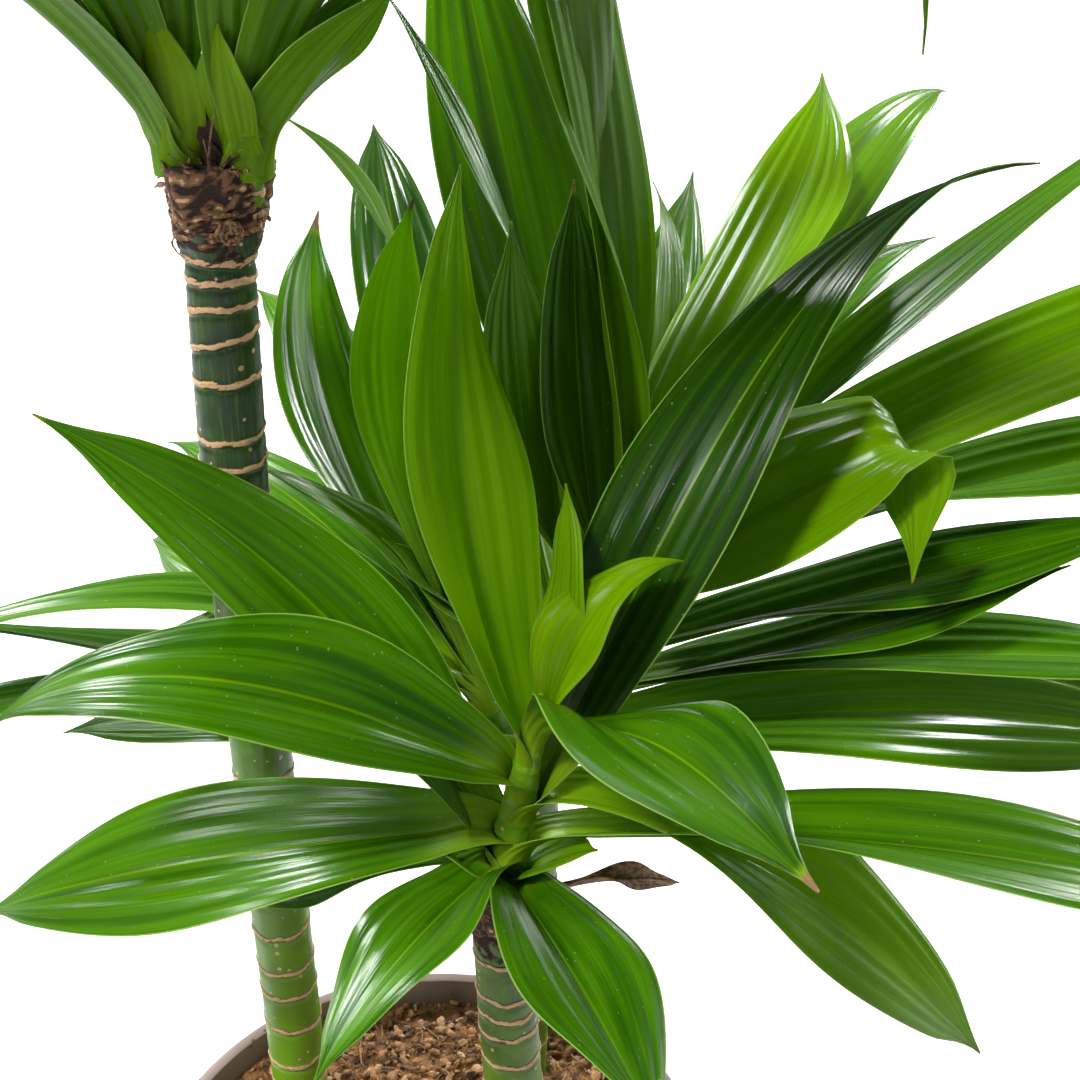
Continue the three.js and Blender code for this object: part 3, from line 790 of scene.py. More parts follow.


# Old bark at a cane's top: cracked folds that end in a ragged line. Gives relief, cover, and a colour
# that follows the folds: painted shade in the creases and a painted highlight on the ridges.
def barkAt(turn, over, cane, seed):
    height = over + rimHeight

    def rough(around, tall, shift):
        return grain(aroundAt(turn, around, height / tall), 1, seed + shift)

    swirl, small = rough(1.5, 17, 3), rough(5, 3.5, 5)
    stack = (over + 12 * swirl + 2.4 * small) / caneDetail["folds"]
    billow = np.minimum(np.abs(rough(3, 7, 9)) * 3.2, 1)
    crease = np.abs(np.sin(math.pi * stack)) ** 0.8 * (0.35 + 0.65 * billow)
    barkFrom, barkFade = cane["bark"]
    patch = rough(1.6, 9, 7)
    bark = ease((over - barkFrom + 12 * patch) / barkFade + 0.5)
    bark *= 1 - 0.9 * ease((patch - 0.3) / 0.12) * (over < cane["topHeight"] - 12)
    relief = bark * (caneDetail["foldDepth"] * crease - 0.7 + 0.7 * small)
    return relief, bark * np.clip(crease * (0.75 + 0.9 * small), 0, 1), bark


def makeCane(name, cane, seed):
    bottom = soil["surface"] - caneDetail["planted"]
    top = rimHeight + cane["topHeight"]
    headFrom, swell, widen = cane["head"]
    footX, footY = caneFeet[name]
    buried = [bottom, bottom + 30, bottom + 60]
    shown = list(np.arange(bottom + 70, top - 1, caneDetail["step"])) + [top]
    cap = list(caneDetail["cap"])
    dome = [top + caneDetail["capHeight"] - 3 * (1 - c) ** 2 for c in cap]
    heights = np.array([bottom] + buried + shown + dome)
    closing = np.array([0] + [1] * (len(buried) + len(shown)) + cap, float)
    rows = len(heights) - 1

    def shape(turn, share):
        index = rowAt(share, rows)
        height, close = heights[index], closing[index]
        along = (height - bottom) / (top - bottom)
        over = height - rimHeight
        radius = cane["radius"][0] + (cane["radius"][1] - cane["radius"][0]) * along
        radius = radius + swell * ease((over - headFrom) / (cane["topHeight"] - headFrom))
        isHead = ease((over - headFrom) / 10)
        ring = aroundAt(turn, 1, height / 60)
        scar = np.zeros(len(turn))
        relief = np.zeros(len(turn))
        for number, (level, slant) in enumerate(cane["scars"]):
            near = np.abs(over - level) < caneDetail["scarReach"]
            raised, tone = scarAt(turn[near], over[near], level, slant, number, seed)
            relief[near] += raised
            scar[near] = np.maximum(scar[near], tone)
        relief += caneDetail["rough"] * grain(ring * np.array((3, 3, 1.5)), 1, seed + 2)
        folds, tone, bark = barkAt(turn, over, cane, seed)
        relief += folds
        scar = np.maximum(scar * (1 - bark), tone)
        knob = 1 + isHead * (0.06 * np.sin(3 * turn + 1) + 0.05 * np.sin(5 * turn + height / 9))
        radius = (radius * knob + relief) * close
        x = radius * np.cos(turn) * (1 + widen * isHead)
        y = radius * np.sin(turn)
        level = np.clip((height - soil["surface"]) / (top - soil["surface"]), 0, 1)
        x += footX + (cane["top"][0] - footX) * level
        x += cane["bow"] * np.sin(math.pi * level ** caneDetail["bowSkew"])
        y += footY + (cane["top"][1] - footY) * level
        capped = close < 1
        uneven = caneDetail["capRough"] * grain(np.column_stack((x, y, height)), 0.22, seed)
        height = height + capped * uneven
        light = cane["light"][0] + (cane["light"][1] - cane["light"][0]) * ease(level * 1.15)
        marks = np.column_stack((scar, np.maximum(bark, capped), light, np.ones(len(turn))))
        return np.column_stack((x, y, height)), marks

    trunk = rolledTube(name, caneDetail["columns"], rows, shape)
    dress(trunk, finishes["cane"])
    finishPiece(trunk, "cane", cane["node"])


for number, (name, cane) in enumerate(canes.items()):
    makeCane(name, cane, number + 1)
print("canes done")


# ---- leaves ----

# One flat blade, closed and of even thickness, that every leaf is a bent copy of.
blade = {
    "columns": 32, "rows": 48, "crowding": 1.45, "thickness": 0.7,
    "footWidth": 0.4, "widestAt": 0.45, "spread": 1.3, "taper": 1.9, "pointed": 1.15, "drawnOut": 0.32,
    "narrowest": 0.22, "channel": 28, "channelLeft": 5, "channelTo": 0.75, "wave": 2.6, "waves": 1.7,
    "pleats": 3.5, "pleatDepth": 0.5, "arch": 0.12, "clasp": 30, "claspTurn": 2.3, "claspOut": 0.6,
    "claspFlare": 1.6, "rooted": 1.0,
}
midribSteps = 24
foldRun = 0.12  # share of a folded leaf's length that its crease takes


def flatBlade(columns, rows, name):
    sheet = gridSheet(name, columns, rows)
    sheet.data.materials.append(finishes["leafUnder"])
    sheet.data.materials.append(finishes["leafTop"])
    addModifier(sheet, "SOLIDIFY", thickness=0.01, offset=0, material_offset=1, use_rim=True)
    points = getPoints(sheet)
    place = {
        "column": np.rint((points[:, 0] + 0.5) * columns).astype(int),
        "row": np.rint((points[:, 1] + 0.5) * rows).astype(int),
        "face": np.sign(points[:, 2]),
        "across": np.linspace(-1, 1, columns + 1),
        "share": np.linspace(0, 1, rows + 1) ** blade["crowding"],
    }
    uvs = sheet.data.uv_layers[0].data
    corner = np.zeros(len(sheet.data.loops), int)
    sheet.data.loops.foreach_get("vertex_index", corner)
    flat = np.column_stack((place["column"][corner] / columns, place["share"][place["row"][corner]]))
    uvs.foreach_set("uv", flat.astype(np.float32).ravel())
    makeActive(sheet)
    bpy.ops.object.shade_smooth_by_angle(angle=math.radians(60))
    return sheet, place


def turnedAbout(vector, axis, angle):
    return Matrix.Rotation(angle, 3, axis) @ vector


# The midrib's stations from a leaf's row, as in the solids.
def midribOf(foot, row):
    heading, rise, droop, sway, length = row[1:6]
    roll, twist, late = row[7:10]
    foldAt, fold, slant = row[10:13] if len(row) > 10 else (0, 0, 0)
    crease = None
    turn, climb = math.radians(heading), math.radians(rise)
    along = Vector((math.cos(climb) * math.cos(turn), math.cos(climb) * math.sin(turn), math.sin(climb)))
    side = Vector((-math.sin(turn), math.cos(turn), 0))
    upper = along.cross(side)
    side = turnedAbout(side, along, math.radians(roll))
    upper = turnedAbout(upper, along, math.radians(roll))
    place = Vector(foot)
    stations = {"place": [], "along": [], "side": [], "upper": []}
    for step in range(midribSteps + 1):
        for name, value in (("place", place), ("along", along), ("side", side), ("upper", upper)):
            stations[name].append(tuple(value))
        before, after = step / midribSteps, (step + 1) / midribSteps
        bend = math.radians(droop) * (after ** late - before ** late)
        along, upper = turnedAbout(along, side, bend), turnedAbout(upper, side, bend)
        if fold and after > foldAt:
            slanted = math.radians(slant)
            crease = crease or side * math.cos(slanted) + along * math.sin(slanted)
            done = ease((after - foldAt) / foldRun) - ease((before - foldAt) / foldRun)
            part = math.radians(fold) * float(done)
            along, side, upper = (turnedAbout(way, crease, part) for way in (along, side, upper))
        swing = math.radians(sway) / midribSteps
        along, side = turnedAbout(along, upper, swing), turnedAbout(side, upper, swing)
        turned = math.radians(twist) * (after ** 1.5 - before ** 1.5)
        side, upper = turnedAbout(side, along, turned), turnedAbout(upper, along, turned)
        place = place + along * (length / midribSteps)
    return {name: np.array(values) for name, values in stations.items()}


# Smooth stations at any shares of the length.
def midribAt(stations, shares, length):
    at = np.clip(shares, 0, 1) * midribSteps
    low = np.minimum(at.astype(int), midribSteps - 1)
    part = (at - low)[:, None]
    step = length / midribSteps
    first, second = stations["place"][low], stations["place"][low + 1]
    start, end = stations["along"][low] * step, stations["along"][low + 1] * step
    place = (2 * part ** 3 - 3 * part ** 2 + 1) * first + (part ** 3 - 2 * part ** 2 + part) * start
    place += (3 * part ** 2 - 2 * part ** 3) * second + (part ** 3 - part ** 2) * end
    ways = {}
    for name in ("side", "upper"):
        way = stations[name][low] * (1 - part) + stations[name][low + 1] * part
        ways[name] = way / np.linalg.norm(way, axis=1)[:, None]
    return place, ways["side"], ways["upper"]


def widthAt(t, form):
    widest, foot = form["widestAt"], form["footWidth"]
    spread = np.sin(math.pi / 2 * np.minimum(t / widest, 1)) ** form["spread"]
    taper = 1 - np.maximum((t - widest) / (1 - widest), 0) ** form["taper"]
    drawnOut = 1 - form["drawnOut"] * ease((t - 0.84) / 0.13)
    return (foot + (1 - foot) * spread) * np.maximum(taper, 0) ** form["pointed"] * drawnOut


# The middle surface of a leaf: rows along it, columns across it. Both halves rise from the midrib as
# a channel, the edges ripple, and the blade between is arched and pleated lengthwise.
def leafSurface(foot, row, number, form, place, stem=None):
    length, width = row[5], row[6]
    t, a = place["share"], place["across"]
    spots, side, upper = midribAt(midribOf(foot, row), t, length)
    half = np.maximum(width / 2 * widthAt(t, form), form["narrowest"])[:, None]
    fold = np.radians(form["channelLeft"] + form["channel"] * (1 - ease(t / form["channelTo"])))[:, None]
    reach = np.abs(a)[None, :]
    rounded = np.sqrt(reach ** 2 + 0.05 ** 2) - 0.05
    edge = np.where(a >= 0, 0.3, -0.3)[None, :]
    ripple = np.sin(2 * math.pi * (form["waves"] * t[:, None] + 0.37 * number + edge))
    ripple = ripple * form["wave"] * np.sin(math.pi * t[:, None]) * reach ** 1.6
    arch = form["arch"] * half * reach * (1 - reach) * 2
    grown = (ease((t - 0.01) / 0.12) * (1 - 0.8 * ease((t - 0.75) / 0.25)))[:, None]
    pleats = form["pleatDepth"] * width / 60 * grown * np.cos(2 * math.pi * form["pleats"] * reach + 0.6)
    pleats = pleats * ease(reach / 0.1) * (1 - 0.5 * reach ** 4)
    lift = half * np.sin(fold) * rounded + ripple + arch + pleats
    over = a[None, :] * half * np.cos(fold)
    surface = spots[:, None, :] + over[..., None] * side[:, None, :] + lift[..., None] * upper[:, None, :]
    if stem:
        surface = clasped(surface, row, stem, form, t * length, a)
    return surface


# A leaf's foot wraps round its stem as a sheath before the blade leaves it.
def clasped(surface, row, stem, form, run, a):
    rise = stem["tip"] - stem["foot"]
    axis = rise / np.linalg.norm(rise)
    front = wayAt(row[1])
    front -= axis * (front @ axis)
    front /= np.linalg.norm(front)
    beside = np.cross(axis, front)
    reach = min(form["clasp"], 0.22 * row[5])
    share = np.clip(run / reach, 0, 1)
    centre = stem["foot"] + rise * (row[0] / rise[2]) + axis * (run[:, None] * 0.8 - 0.32 * reach)
    radius = stemRadius(stem, row[0]) + form["claspOut"] + form["claspFlare"] * ease(share)
    turn = a[None, :] * (form["claspTurn"] * (1 - 0.5 * ease(share)))[:, None]
    wrap = np.cos(turn)[..., None] * front + np.sin(turn)[..., None] * beside
    sheath = centre[:, None, :] + radius[:, None, None] * wrap
    weight = ease(share)[:, None, None]
    return sheath * (1 - weight) + surface * weight


def stemRadius(stem, up):
    share = up / (stem["tip"][2] - stem["foot"][2])
    wide, slim = stem["radius"]
    return wide + (slim - wide) * max((share - 0.3) / 0.7, 0)


def makeLeaf(flat, name, foot, row, number, form, marks, stem=None):
    template, place = flat
    leaf = copyOf(template, name)
    surface = leafSurface(foot, row, number, form, place, stem)
    down, across = np.gradient(surface, axis=0), np.gradient(surface, axis=1)
    normal = np.cross(across, down)
    size = np.linalg.norm(normal, axis=2, keepdims=True)
    normal = normal / np.maximum(size, 1e-9)
    thin = (1 - 0.5 * np.abs(place["across"]) ** 6)[None, :, None] * form["thickness"] / 2
    row, column, face = place["row"], place["column"], place["face"]
    points = surface[row, column] + (normal * thin)[row, column] * face[:, None]
    setPoints(leaf, points * mm)
    setMarks(leaf, np.tile(marks, (len(points), 1)))
    return leaf


# Each leaf is one row, as in the solids: up, heading, rise, droop, sway, length, width, roll,
# twist, lateness, and for a folded leaf where, how far and how slanted. Young is a leaf's tone by
# its number: above 0 pale, for young growth and partly a painted glow of a backlit leaf, and below 0
# darkened with painted shade where the leaf lies in shade. Dry is how far its tip has withered. Spears
# are the lengths of the rolled leaves at a shoot's tip, and sheaths the short leaves at its foot.
crowns = {
    "shortCrown": {
        "node": "short_shoot", "foot": (41, -16, 210), "tip": (59, -20, 322), "radius": (9, 3.5),
        "leaves": [
            (18, 285, 23, 11, 3, 210, 62, -14, -9, 1.3),
            (26, 174, 0, 51, -2, 135, 49, -6, -6, 1.2),
            (27, 240, 13, 29, -6, 140, 55, 13, 14, 1.3),
            (37, 347, 14, 35, 1, 405, 65, -12, 10, 1.5),
            (44, 184, -3, 44, -9, 285, 70, -28, 7, 1.1),
            (28, 147, 59, 14, 34, 277, 59, -12, -16, 1.5),
            (60, 355, 11, 71, 1, 265, 75, -6, 46, 0.6),
            (61, 32, 59, 64, 0, 365, 67, 40, -92, 3.2),
            (72, 197, 39, 84, -3, 243, 71, -32, 30, 1.8),
            (102, 5, 75, 81, -4, 100, 39, 32, -37, 2.5),
            (91, 152, 66, -7, -42, 250, 79, -6, 17, 1.5),
            (97, 295, 37, 38, -5, 245, 64, -26, 60, 1.9),
            (98, 32, 70, -8, 26, 105, 28, 6, 2, 1.3),
        ],
        "young": {9: 0.95, 12: 0.6, 7: -0.85, 10: 0.8, 0: -0.2, 1: -0.15, 8: -0.1, 11: -0.35, 6: 0.6},
        "dry": {11: 0.35, 0: 0.1, 5: 0.08}, "spears": (),
        "sheaths": [(5, 215, 74, 30, 0, 46, 30, 0, 0, 1), (10, 330, 66, 40, 0, 56, 32, 0, 0, 1)],
    },
    "middleLeftCrown": {
        "node": "middle_left_shoot", "foot": (42, 98, 203), "tip": (17, 97, 306), "radius": (8, 3.5),
        "leaves": [
            (10, 176, 9, 37, -9, 245, 56, -6, -8, 1.3),
            (15, 180, 17, 36, 1, 355, 59, 23, -5, 1.3),
            (16, 178, 17, 12, -3, 335, 58, 20, 7, 1.3),
            (32, 133, 29, 46, 0, 300, 58, 0, 0, 1.3),
            (40, 169, 30, 63, -1, 190, 45, -2, -9, 1.2),
            (42, 177, 29, 67, 2, 350, 59, 21, -4, 1.4),
            (48, 203, 78, 28, 5, 105, 46, -2, -7, 1.4),
            (49, 159, 50, -6, -59, 280, 66, 12, -43, 1.2),
            (55, 164, 23, 63, -11, 245, 64, -23, -34, 1.1),
            (58, 118, 40, 50, 0, 325, 58, 0, 0, 1.3),
            (62, 195, 68, 36, 2, 155, 50, 6, -13, 1.5),
            (85, 106, 47, 42, -12, 360, 59, 7, -4, 1.2),
            (85, 167, 65, -7, -50, 210, 53, -16, -30, 1.3),
            (89, 119, 66, 57, -43, 315, 26, 10, 102, 1.5),
        ],
        "young": {12: 1.0, 6: 0.3, 10: 0.2, 11: -0.5, 0: -0.2, 2: -0.2},
        "dry": {7: 0.5, 12: 0.3, 1: 0.1}, "spears": (55,),
        "sheaths": [(5, 250, 70, 30, 0, 44, 28, 0, 0, 1), (11, 90, 66, 30, 0, 50, 28, 0, 0, 1)],
    },
    "middleRightCrown": {
        "node": "middle_right_shoot", "foot": (66, 106, 203), "tip": (98, 122, 326), "radius": (9, 3.5),
        "leaves": [
            (6, 359, 10, 61, 2, 400, 73, 23, 24, 1.6),
            (16, 75, 22, 50, 0, 300, 62, 0, 10, 1.3),
            (28, 344, 25, -5, 3, 250, 64, -16, 30, 1.3),
            (34, 346, 20, 30, 1, 420, 57, 6, -31, 1.4),
            (40, 105, 34, 50, 0, 320, 62, 0, -10, 1.3),
            (48, 348, 25, 1, 0, 290, 71, -13, 28, 1.3),
            (83, 316, 46, 34, 15, 250, 82, 50, -2, 1.3, 0.71, 162, -38),
            (63, 49, 47, 53, -1, 345, 56, -1, -2, 1.3),
            (72, 359, 30, 29, 1, 410, 71, -26, 59, 1.3),
            (75, 9, 50, 27, 6, 450, 46, -1, -11, 1.6),
            (76, 0, 40, 37, 1, 445, 75, 9, 24, 1.5),
            (86, 133, 76, 25, -3, 305, 37, 58, -38, 1.9),
            (93, 115, 57, 13, -6, 400, 80, -3, -6, 1.3),
            (99, 207, 81, -6, -6, 205, 62, -62, -25, 1.3),
            (95, 47, 48, 64, 4, 435, 53, 10, 10, 1.6),
            (96, 72, 42, 26, 7, 275, 48, 1, 1, 1.1),
            (107, 154, 87, 10, 9, 370, 76, 72, -143, 1.2),
            (115, 62, 47, 45, 17, 240, 18, 21, 31, 1.2),
            (119, 31, 70, 37, 55, 295, 73, -23, 64, 0.6),
            (120, 154, 88, 12, 5, 400, 80, 11, -23, 1.6),
            (55, 221, 74, -12, -12, 240, 60, -23, -110, 1.3),
        ],
        "young": {
            18: 1.0, 17: 0.6, 14: 0.3, 16: 0.35, 19: 0.3, 13: -0.5, 20: 0.1,
            2: -0.3, 5: -0.3, 3: -0.1, 6: 0.5, 10: 0.45, 8: 0.1, 0: 0.1,
        },
        "dry": {13: 0.25, 6: 0.1, 9: 0.3}, "spears": (60,),
        "sheaths": [(5, 290, 70, 30, 0, 48, 30, 0, 0, 1), (11, 50, 66, 30, 0, 52, 30, 0, 0, 1)],
    },
    "tallLeftCrown": {
        "node": "tall_left_shoot", "foot": (-80.5, 49, 524), "tip": (-94, 51, 640), "radius": (7.2, 3.5),
        "leaves": [
            (16, 212, 60, 75, 0, 310, 58, 0, 5, 1.2),
            (20, 262, 80, 62, 2, 335, 58, 0, -5, 1.3),
            (24, 108, 55, 70, 0, 330, 60, 0, 5, 1.2),
            (29, 174, 59, 70, 1, 335, 61, -1, 1, 1),
            (32, 236, 66, 62, 0, 350, 60, 0, 0, 1.3),
            (40, 150, 72, 60, 0, 355, 62, 0, 0, 1.4),
            (52, 203, 72, 65, 0, 350, 64, 0, 8, 1.3),
            (60, 262, 78, 55, 0, 350, 60, 0, -6, 1.3),
            (72, 128, 76, 55, 0, 345, 56, 0, 6, 1.4),
            (84, 178, 80, 45, 0, 330, 54, 0, -6, 1.4),
            (95, 310, 81, 40, -6, 320, 50, 0, 6, 1.4),
            (104, 230, 84, 25, 0, 260, 38, 0, 0, 1.4),
        ],
        "young": {11: 0.6}, "dry": {}, "spears": (95, 70), "broad": True, "youngSheaths": (0.95, 0.2),
        "sheaths": [(8, 254, 76, -10, 3, 64, 35, 0, 0, 1), (9, 190, 72, 14, 0, 95, 34, 10, 0, 1.2)],
    },
    "tallRightCrown": {
        "node": "tall_right_shoot", "foot": (-55.5, 46, 525), "tip": (-43, 43, 640), "radius": (7.2, 3.5),
        "leaves": [
            (16, 304, 80, 72, 0, 320, 60, 14, 5, 1.2),
            (22, 330, 60, 52, 1, 380, 66, -5, 1, 1.2),
            (26, 62, 55, 75, 0, 330, 60, 0, -5, 1.2),
            (38, 359, 40, 36, 0, 325, 50, 2, 2, 1.2),
            (46, 328, 72, 65, 0, 350, 66, 0, 8, 1.3),
            (54, 84, 66, 60, 0, 350, 58, 0, -8, 1.3),
            (58, 23, 64, 152, 1, 420, 50, 1, -4, 1.2),
            (72, 292, 76, 55, 0, 345, 58, 0, 6, 1.4),
            (84, 8, 77, 50, 0, 340, 54, 0, -6, 1.4),
            (94, 62, 80, 40, 0, 320, 50, 0, 6, 1.4),
            (104, 335, 84, 25, 0, 260, 38, 0, 0, 1.4),
        ],
        "young": {10: 0.6}, "dry": {}, "spears": (95, 70), "broad": True, "youngSheaths": (0.85, 0.25, 0.9),
        "sheaths": [
            (6, 250, 68, -16, 10, 60, 24, 0, -10, 1), (9, 340, 56, 14, 6, 92, 40, -20, 0, 1.2),
            (24, 205, 84, 2, 4, 62, 17, 0, 0, 1),
        ],
    },
}
broadForm = dict(blade, footWidth=0.52, widestAt=0.36, claspTurn=2.0, rooted=0.25)
sheathForm = dict(blade, thickness=1, footWidth=0.85, widestAt=0.5, wave=0.6, pleatDepth=0.15)
sheathForm.update(clasp=15, claspOut=3.2, rooted=0.3)
spearForm = dict(blade, footWidth=0.7, widestAt=0.3, channel=70, channelLeft=20, wave=0.4, clasp=8)


stalkDetail = {
    "columns": 40, "step": 1.5, "rings": 4.6, "ring": 0.5, "rough": 0.3, "scarsTo": 16, "light": 0.9,
}


def makeStem(name, stem, seed):
    rise = stem["tip"] - stem["foot"]
    axis = rise / np.linalg.norm(rise)
    first = np.cross(axis, (0, 1, 0))
    first /= np.linalg.norm(first)
    second = np.cross(axis, first)
    ends = [rise[2], rise[2] + 3, rise[2] + 5]
    heights = np.concatenate(([-11], np.arange(-10, rise[2] - 2, stalkDetail["step"]), ends))
    closing = np.ones(len(heights))
    closing[0] = 0
    closing[-3:] = (0.8, 0.45, 0)
    rows = len(heights) - 1

    def shape(turn, share):
        index = rowAt(share, rows)
        up = heights[index]
        radius = np.array([stemRadius(stem, max(h, 0)) for h in heights])[index]
        spot = aroundAt(turn, 2, up / 5)
        ring = np.abs(np.sin(up / stalkDetail["rings"] * math.pi / 2 + 0.5 * grain(spot, 1, seed))) ** 10
        rough = stalkDetail["ring"] * ring + stalkDetail["rough"] * grain(spot, 1.5, seed + 1)
        radius = (radius + rough) * closing[index]
        bark = (1 - ease((up - 2) / 8)) * (0.45 + 0.4 * grain(spot, 0.6, seed + 2))
        light = np.full(len(turn), stalkDetail["light"])
        marks = np.column_stack((ring * (up < stalkDetail["scarsTo"]), bark, light, np.ones(len(turn))))
        wrap = np.cos(turn)[:, None] * first + np.sin(turn)[:, None] * second
        middle = stem["foot"] + axis * (up[:, None] * np.linalg.norm(rise) / rise[2])
        return middle + radius[:, None] * wrap, marks

    stalk = rolledTube(name, stalkDetail["columns"], rows, shape)
    dress(stalk, finishes["cane"])
    return stalk


def makeCrown(name, crown, seed):
    draw = random.Random(seed)
    stem = {end: np.array(crown[end]) + (0, 0, rimHeight) for end in ("foot", "tip")}
    stem["radius"] = crown["radius"]
    rise = stem["tip"] - stem["foot"]
    parts = [makeStem(name, stem, seed)]

    def grow(row, number, form, young, dry):
        out = (stemRadius(stem, row[0]) - 0.5) * wayAt(row[1])
        spot = stem["foot"] + rise * (row[0] / rise[2]) + out
        marks = (young, dry, draw.random(), form["rooted"])
        parts.append(makeLeaf(flatLeaf, f"{name}Leaf", spot, row, number, form, marks, stem))

    form = broadForm if "broad" in crown else blade
    for number, row in enumerate(crown["leaves"]):
        young = crown["young"].get(number, 0.12 * row[0] / rise[2])
        grow(row, number, form, young, crown["dry"].get(number, 0.0))
    for number, row in enumerate(crown["sheaths"]):
        young = crown.get("youngSheaths", (0.55, 0.55))[number]
        grow(row, number + 30, sheathForm, young, 0.06)
    for number, length in enumerate(crown["spears"]):
        up, heading = rise[2] - 6 + 3 * number, (140 * number + 60) % 360
        spear = (up, heading, 82, 6, 0, length, 0.23 * length, 0, 0, 1.2)
        grow(spear, number + 40, spearForm, 0.7, 0.0)
    whole = joinPieces(parts, name)
    finishPiece(whole, "leaf", crown["node"])


flatLeaf = flatBlade(blade["columns"], blade["rows"], "flatBlade")
for number, (name, crown) in enumerate(crowns.items()):
    makeCrown(name, crown, 20 + number)
    print(name, "done")


# ---- dried leaf ----

driedLeaf = {
    "foot": (56.5, -9, 204), "row": (0, 24, 4, 52, 0, 90, 13, 0, 60, 1.2),
    "dark": linear(70, 46, 36), "pale": linear(156, 118, 88), "brown": linear(96, 66, 44),
}


def driedMaterial():
    material, tree, shader = newMaterial("driedLeaf")
    place = objectPlace(tree)
    fibres = noiseAt(tree, place, 500.0, 4.0, 0.6, stretch=(0.3, 1, 1))
    clouds = noiseAt(tree, place, 90.0, 3.0)
    colour = wash(tree, driedLeaf["dark"], driedLeaf["pale"], fibres, 0.35, 0.65)
    colour = wash(tree, colour, driedLeaf["brown"], clouds, 0.4, 0.7, 0.5)
    feed(tree, shader, {"Base Color": colour, "Roughness": 0.8})
    bumpInto(tree, shader, fibres, 0.0006, 0.8)
    return material


def makeDriedLeaf():
    form = dict(blade, footWidth=0.4, widestAt=0.5, wave=4.2, channel=46, channelLeft=24, pleatDepth=0.9)
    foot = (*driedLeaf["foot"][:2], driedLeaf["foot"][2] + rimHeight)
    leaf = makeLeaf(flatLeaf, "driedLeaf", foot, driedLeaf["row"], 0, form, (0, 0, 0, 1))
    dress(leaf, driedMaterial())
    finishPiece(leaf, "dried_leaf", "dried_leaf")


makeDriedLeaf()
print("dried leaf done")


# ---- loose bark on the tall cane's head ----

# Bands are strips that wrap round the head: height over the rim, start in degrees, length, width.
# Flaps stand up round its top edge: height, direction, length, width, how far they curl.
loose = {
    "radius": 16.6, "widen": 1.12, "flapDepth": 2.6, "seed": 8,
    "bands": [
        (503, 205, 22, 1.8), (507, 235, 26, 2.2), (511, 180, 24, 2.4), (514, 262, 20, 2.0),
        (518, 205, 22, 2.6), (521, 292, 18, 2.4), (523, 170, 18, 2.2), (505, 285, 24, 2.2),
        (512, 320, 26, 2.6), (505, 20, 30, 3.2), (515, 60, 28, 3.0), (509, 95, 30, 3.0),
        (519, 120, 26, 3.2), (500, 150, 24, 2.0),
    ],
    "flaps": [
        (516, 178, 13, 4.5, 130), (521, 186, 10, 5.0, 100), (526, 322, 12, 4.0, 100),
        (527, 20, 12, 5.0, 60), (526, 75, 14, 5.0, 80), (527, 130, 12, 5.0, 70),
        (524, 296, 12, 6.0, 60), (524, 244, 12, 6.0, -40), (521, 212, 15, 7.0, 20),
        (522, 252, 13, 8.0, 30), (521, 276, 14, 7.0, -20), (522, 308, 14, 7.0, 25),
        (522, 232, 11, 6.0, 50), (521, 192, 13, 6.0, 30), (522, 340, 14, 6.0, 25),
    ],
    "husks": [  # place from the centre, direction, rise, length, width, curl
        (1, -6, 262, 84, 30, 11, -10), (-2, -2, 285, 88, 42, 14, 6), (4, -4, 240, 80, 24, 10, 30),
        (0, 3, 270, 88, 52, 18, -4), (5, -9, 300, 78, 20, 8, 60), (-3, -9, 235, 80, 17, 7, 70),
    ],
    "huskHeight": 523, "huskShade": 0.9, "fibres": 6,
    "knot": (507, 290, 5.2, 2.6, 1.1, 0.1),  # height, direction, size, turns, thickness, darkness
}


looseFinish = {
    "dark": linear(70, 46, 32),
    "tan": linear(176, 132, 92),
    "shade": linear(66, 42, 32),
    "deep": linear(36, 24, 18),
}


def looseMaterial():
    material, tree, shader = newMaterial("looseBark")
    place = objectPlace(tree)
    grainy = noiseAt(tree, place, 620.0, 4.0, 0.65, stretch=(1, 1, 0.6))
    clouds = noiseAt(tree, place, 130.0, 3.0)
    colour = wash(tree, looseFinish["dark"], looseFinish["tan"], grainy, 0.36, 0.62)
    colour = wash(tree, colour, looseFinish["shade"], clouds, 0.5, 0.72, 0.75)
    # Strips marked dark, the husks above all, turn deep brown: painted shade of the hollow between the
    # shoots.
    colour = blendColour(tree, marksOf(tree)[0], colour, looseFinish["deep"])
    feed(tree, shader, {"Base Color": colour, "Roughness": 0.85})
    bumpInto(tree, shader, grainy, 0.0007, 0.8)
    return material


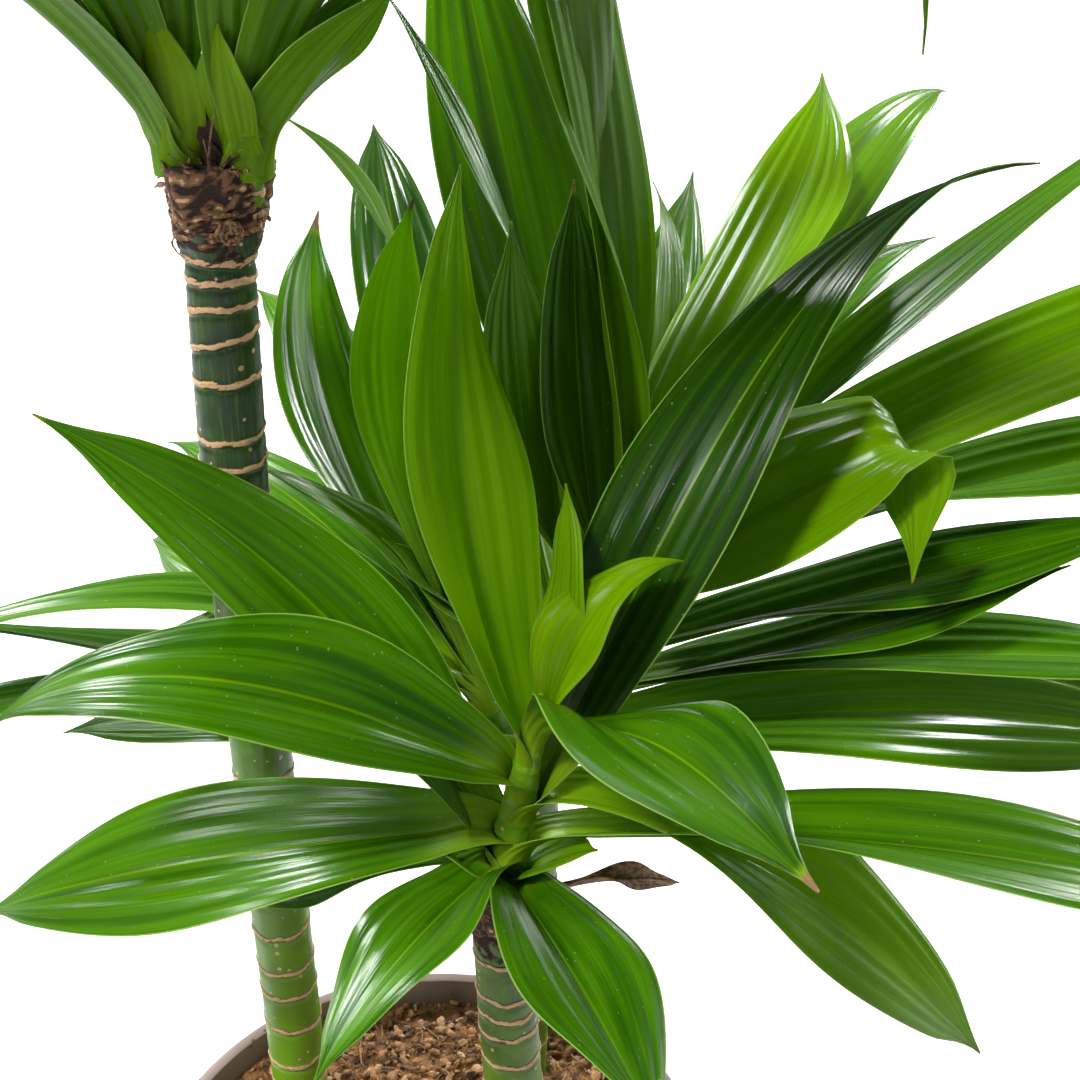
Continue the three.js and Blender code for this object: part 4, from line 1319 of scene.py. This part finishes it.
def makeLooseBark():
    draw = random.Random(loose["seed"])
    flatStrip = flatBlade(4, 16, "barkStrip")
    bandForm = dict(blade, thickness=0.6, footWidth=0.7, widestAt=0.4, channel=-10, channelLeft=-4)
    bandForm.update(wave=0.9, pleatDepth=0.2, arch=0)
    flapForm = dict(bandForm, thickness=0.5, channel=30)
    threadForm = dict(flapForm, wave=0, pleatDepth=0, channel=0, channelLeft=0)
    centre = canes["tallCane"]["top"]
    parts = []

    def spotAt(height, turn, radius):
        way = radius * wayAt(turn)
        return (centre[0] + way[0] * loose["widen"], centre[1] + way[1], height + rimHeight)

    def strip(foot, row, form, dark=0.0):
        parts.append(makeLeaf(flatStrip, "strip", foot, row, len(parts), form, (dark, 0, 0, 1)))

    for height, turn, length, width in loose["bands"]:
        radius = loose["radius"] + draw.uniform(0.3, 1.5)
        wrap = math.degrees(length / radius)
        climb, sway, roll = draw.uniform(-9, 9), draw.uniform(-14, 14), 90 + draw.uniform(-16, 16)
        row = (0, turn + 90, climb, wrap, sway, length, width, roll, 12, 1)
        strip(spotAt(height, turn, radius), row, bandForm)
    for height, turn, length, width, curl in loose["flaps"]:
        heading, sway, twist = turn + draw.uniform(-25, 25), draw.uniform(-20, 20), draw.uniform(-40, 40)
        row = (0, heading, 74, curl, sway, length, width, 0, twist, 1.4)
        strip(spotAt(height, turn, loose["radius"] - loose["flapDepth"]), row, flapForm)
    # Husks: dry sheaths standing between the shoots, darkened as painted shade of the hollow there.
    for x, y, turn, climb, length, width, curl in loose["husks"]:
        sway, roll, twist = draw.uniform(-12, 12), draw.uniform(-20, 20), draw.uniform(-30, 30)
        row = (0, turn, climb, curl, sway, length, width, roll, twist, 1.4)
        spot = (centre[0] + x, centre[1] + y, loose["huskHeight"] + rimHeight)
        strip(spot, row, flapForm, loose["huskShade"])
    for number in range(loose["fibres"]):
        turn = draw.uniform(245, 300)
        heading, climb = turn + draw.uniform(-40, 40), draw.uniform(68, 88)
        curl, sway = draw.uniform(-30, 50), draw.uniform(-50, 50)
        length, width = draw.uniform(14, 40), draw.uniform(0.7, 1.1)
        row = (0, heading, climb, curl, sway, length, width, 0, 0, 1)
        strip(spotAt(draw.uniform(518, 530), turn, draw.uniform(4, 12)), row, threadForm)

    height, turn, size, turns, thick, dark = loose["knot"]
    middle = np.array(spotAt(height, turn, loose["radius"] + 1.0))
    outwards = wayAt(turn)
    besides = np.cross((0, 0, 1), outwards)

    def coil(around, share):
        swing = share * turns * 2 * math.pi
        reach = size * (0.12 + 0.88 * share)
        radial = np.cos(swing)[:, None] * besides + np.sin(swing)[:, None] * np.array((0, 0, 1))
        rim = thick * np.sqrt(np.clip(1 - (2 * share - 1) ** 12, 0, 1)) * (1 + 0.25 * np.sin(9 * swing))
        rise = 1.6 * (1 - share)
        across = radial * (reach + rim * np.cos(around))[:, None]
        points = middle + across + outwards * (rise + rim * np.sin(around))[:, None]
        return points, np.tile((dark, 0, 0, 1), (len(share), 1))

    parts.append(rolledTube("coil", 10, 90, coil))
    whole = joinPieces(parts, "looseBark")
    dress(whole, looseMaterial())
    bpy.data.objects.remove(flatStrip[0])
    finishPiece(whole, "cane")


makeLooseBark()
bpy.data.objects.remove(flatLeaf[0])
print("loose bark done")
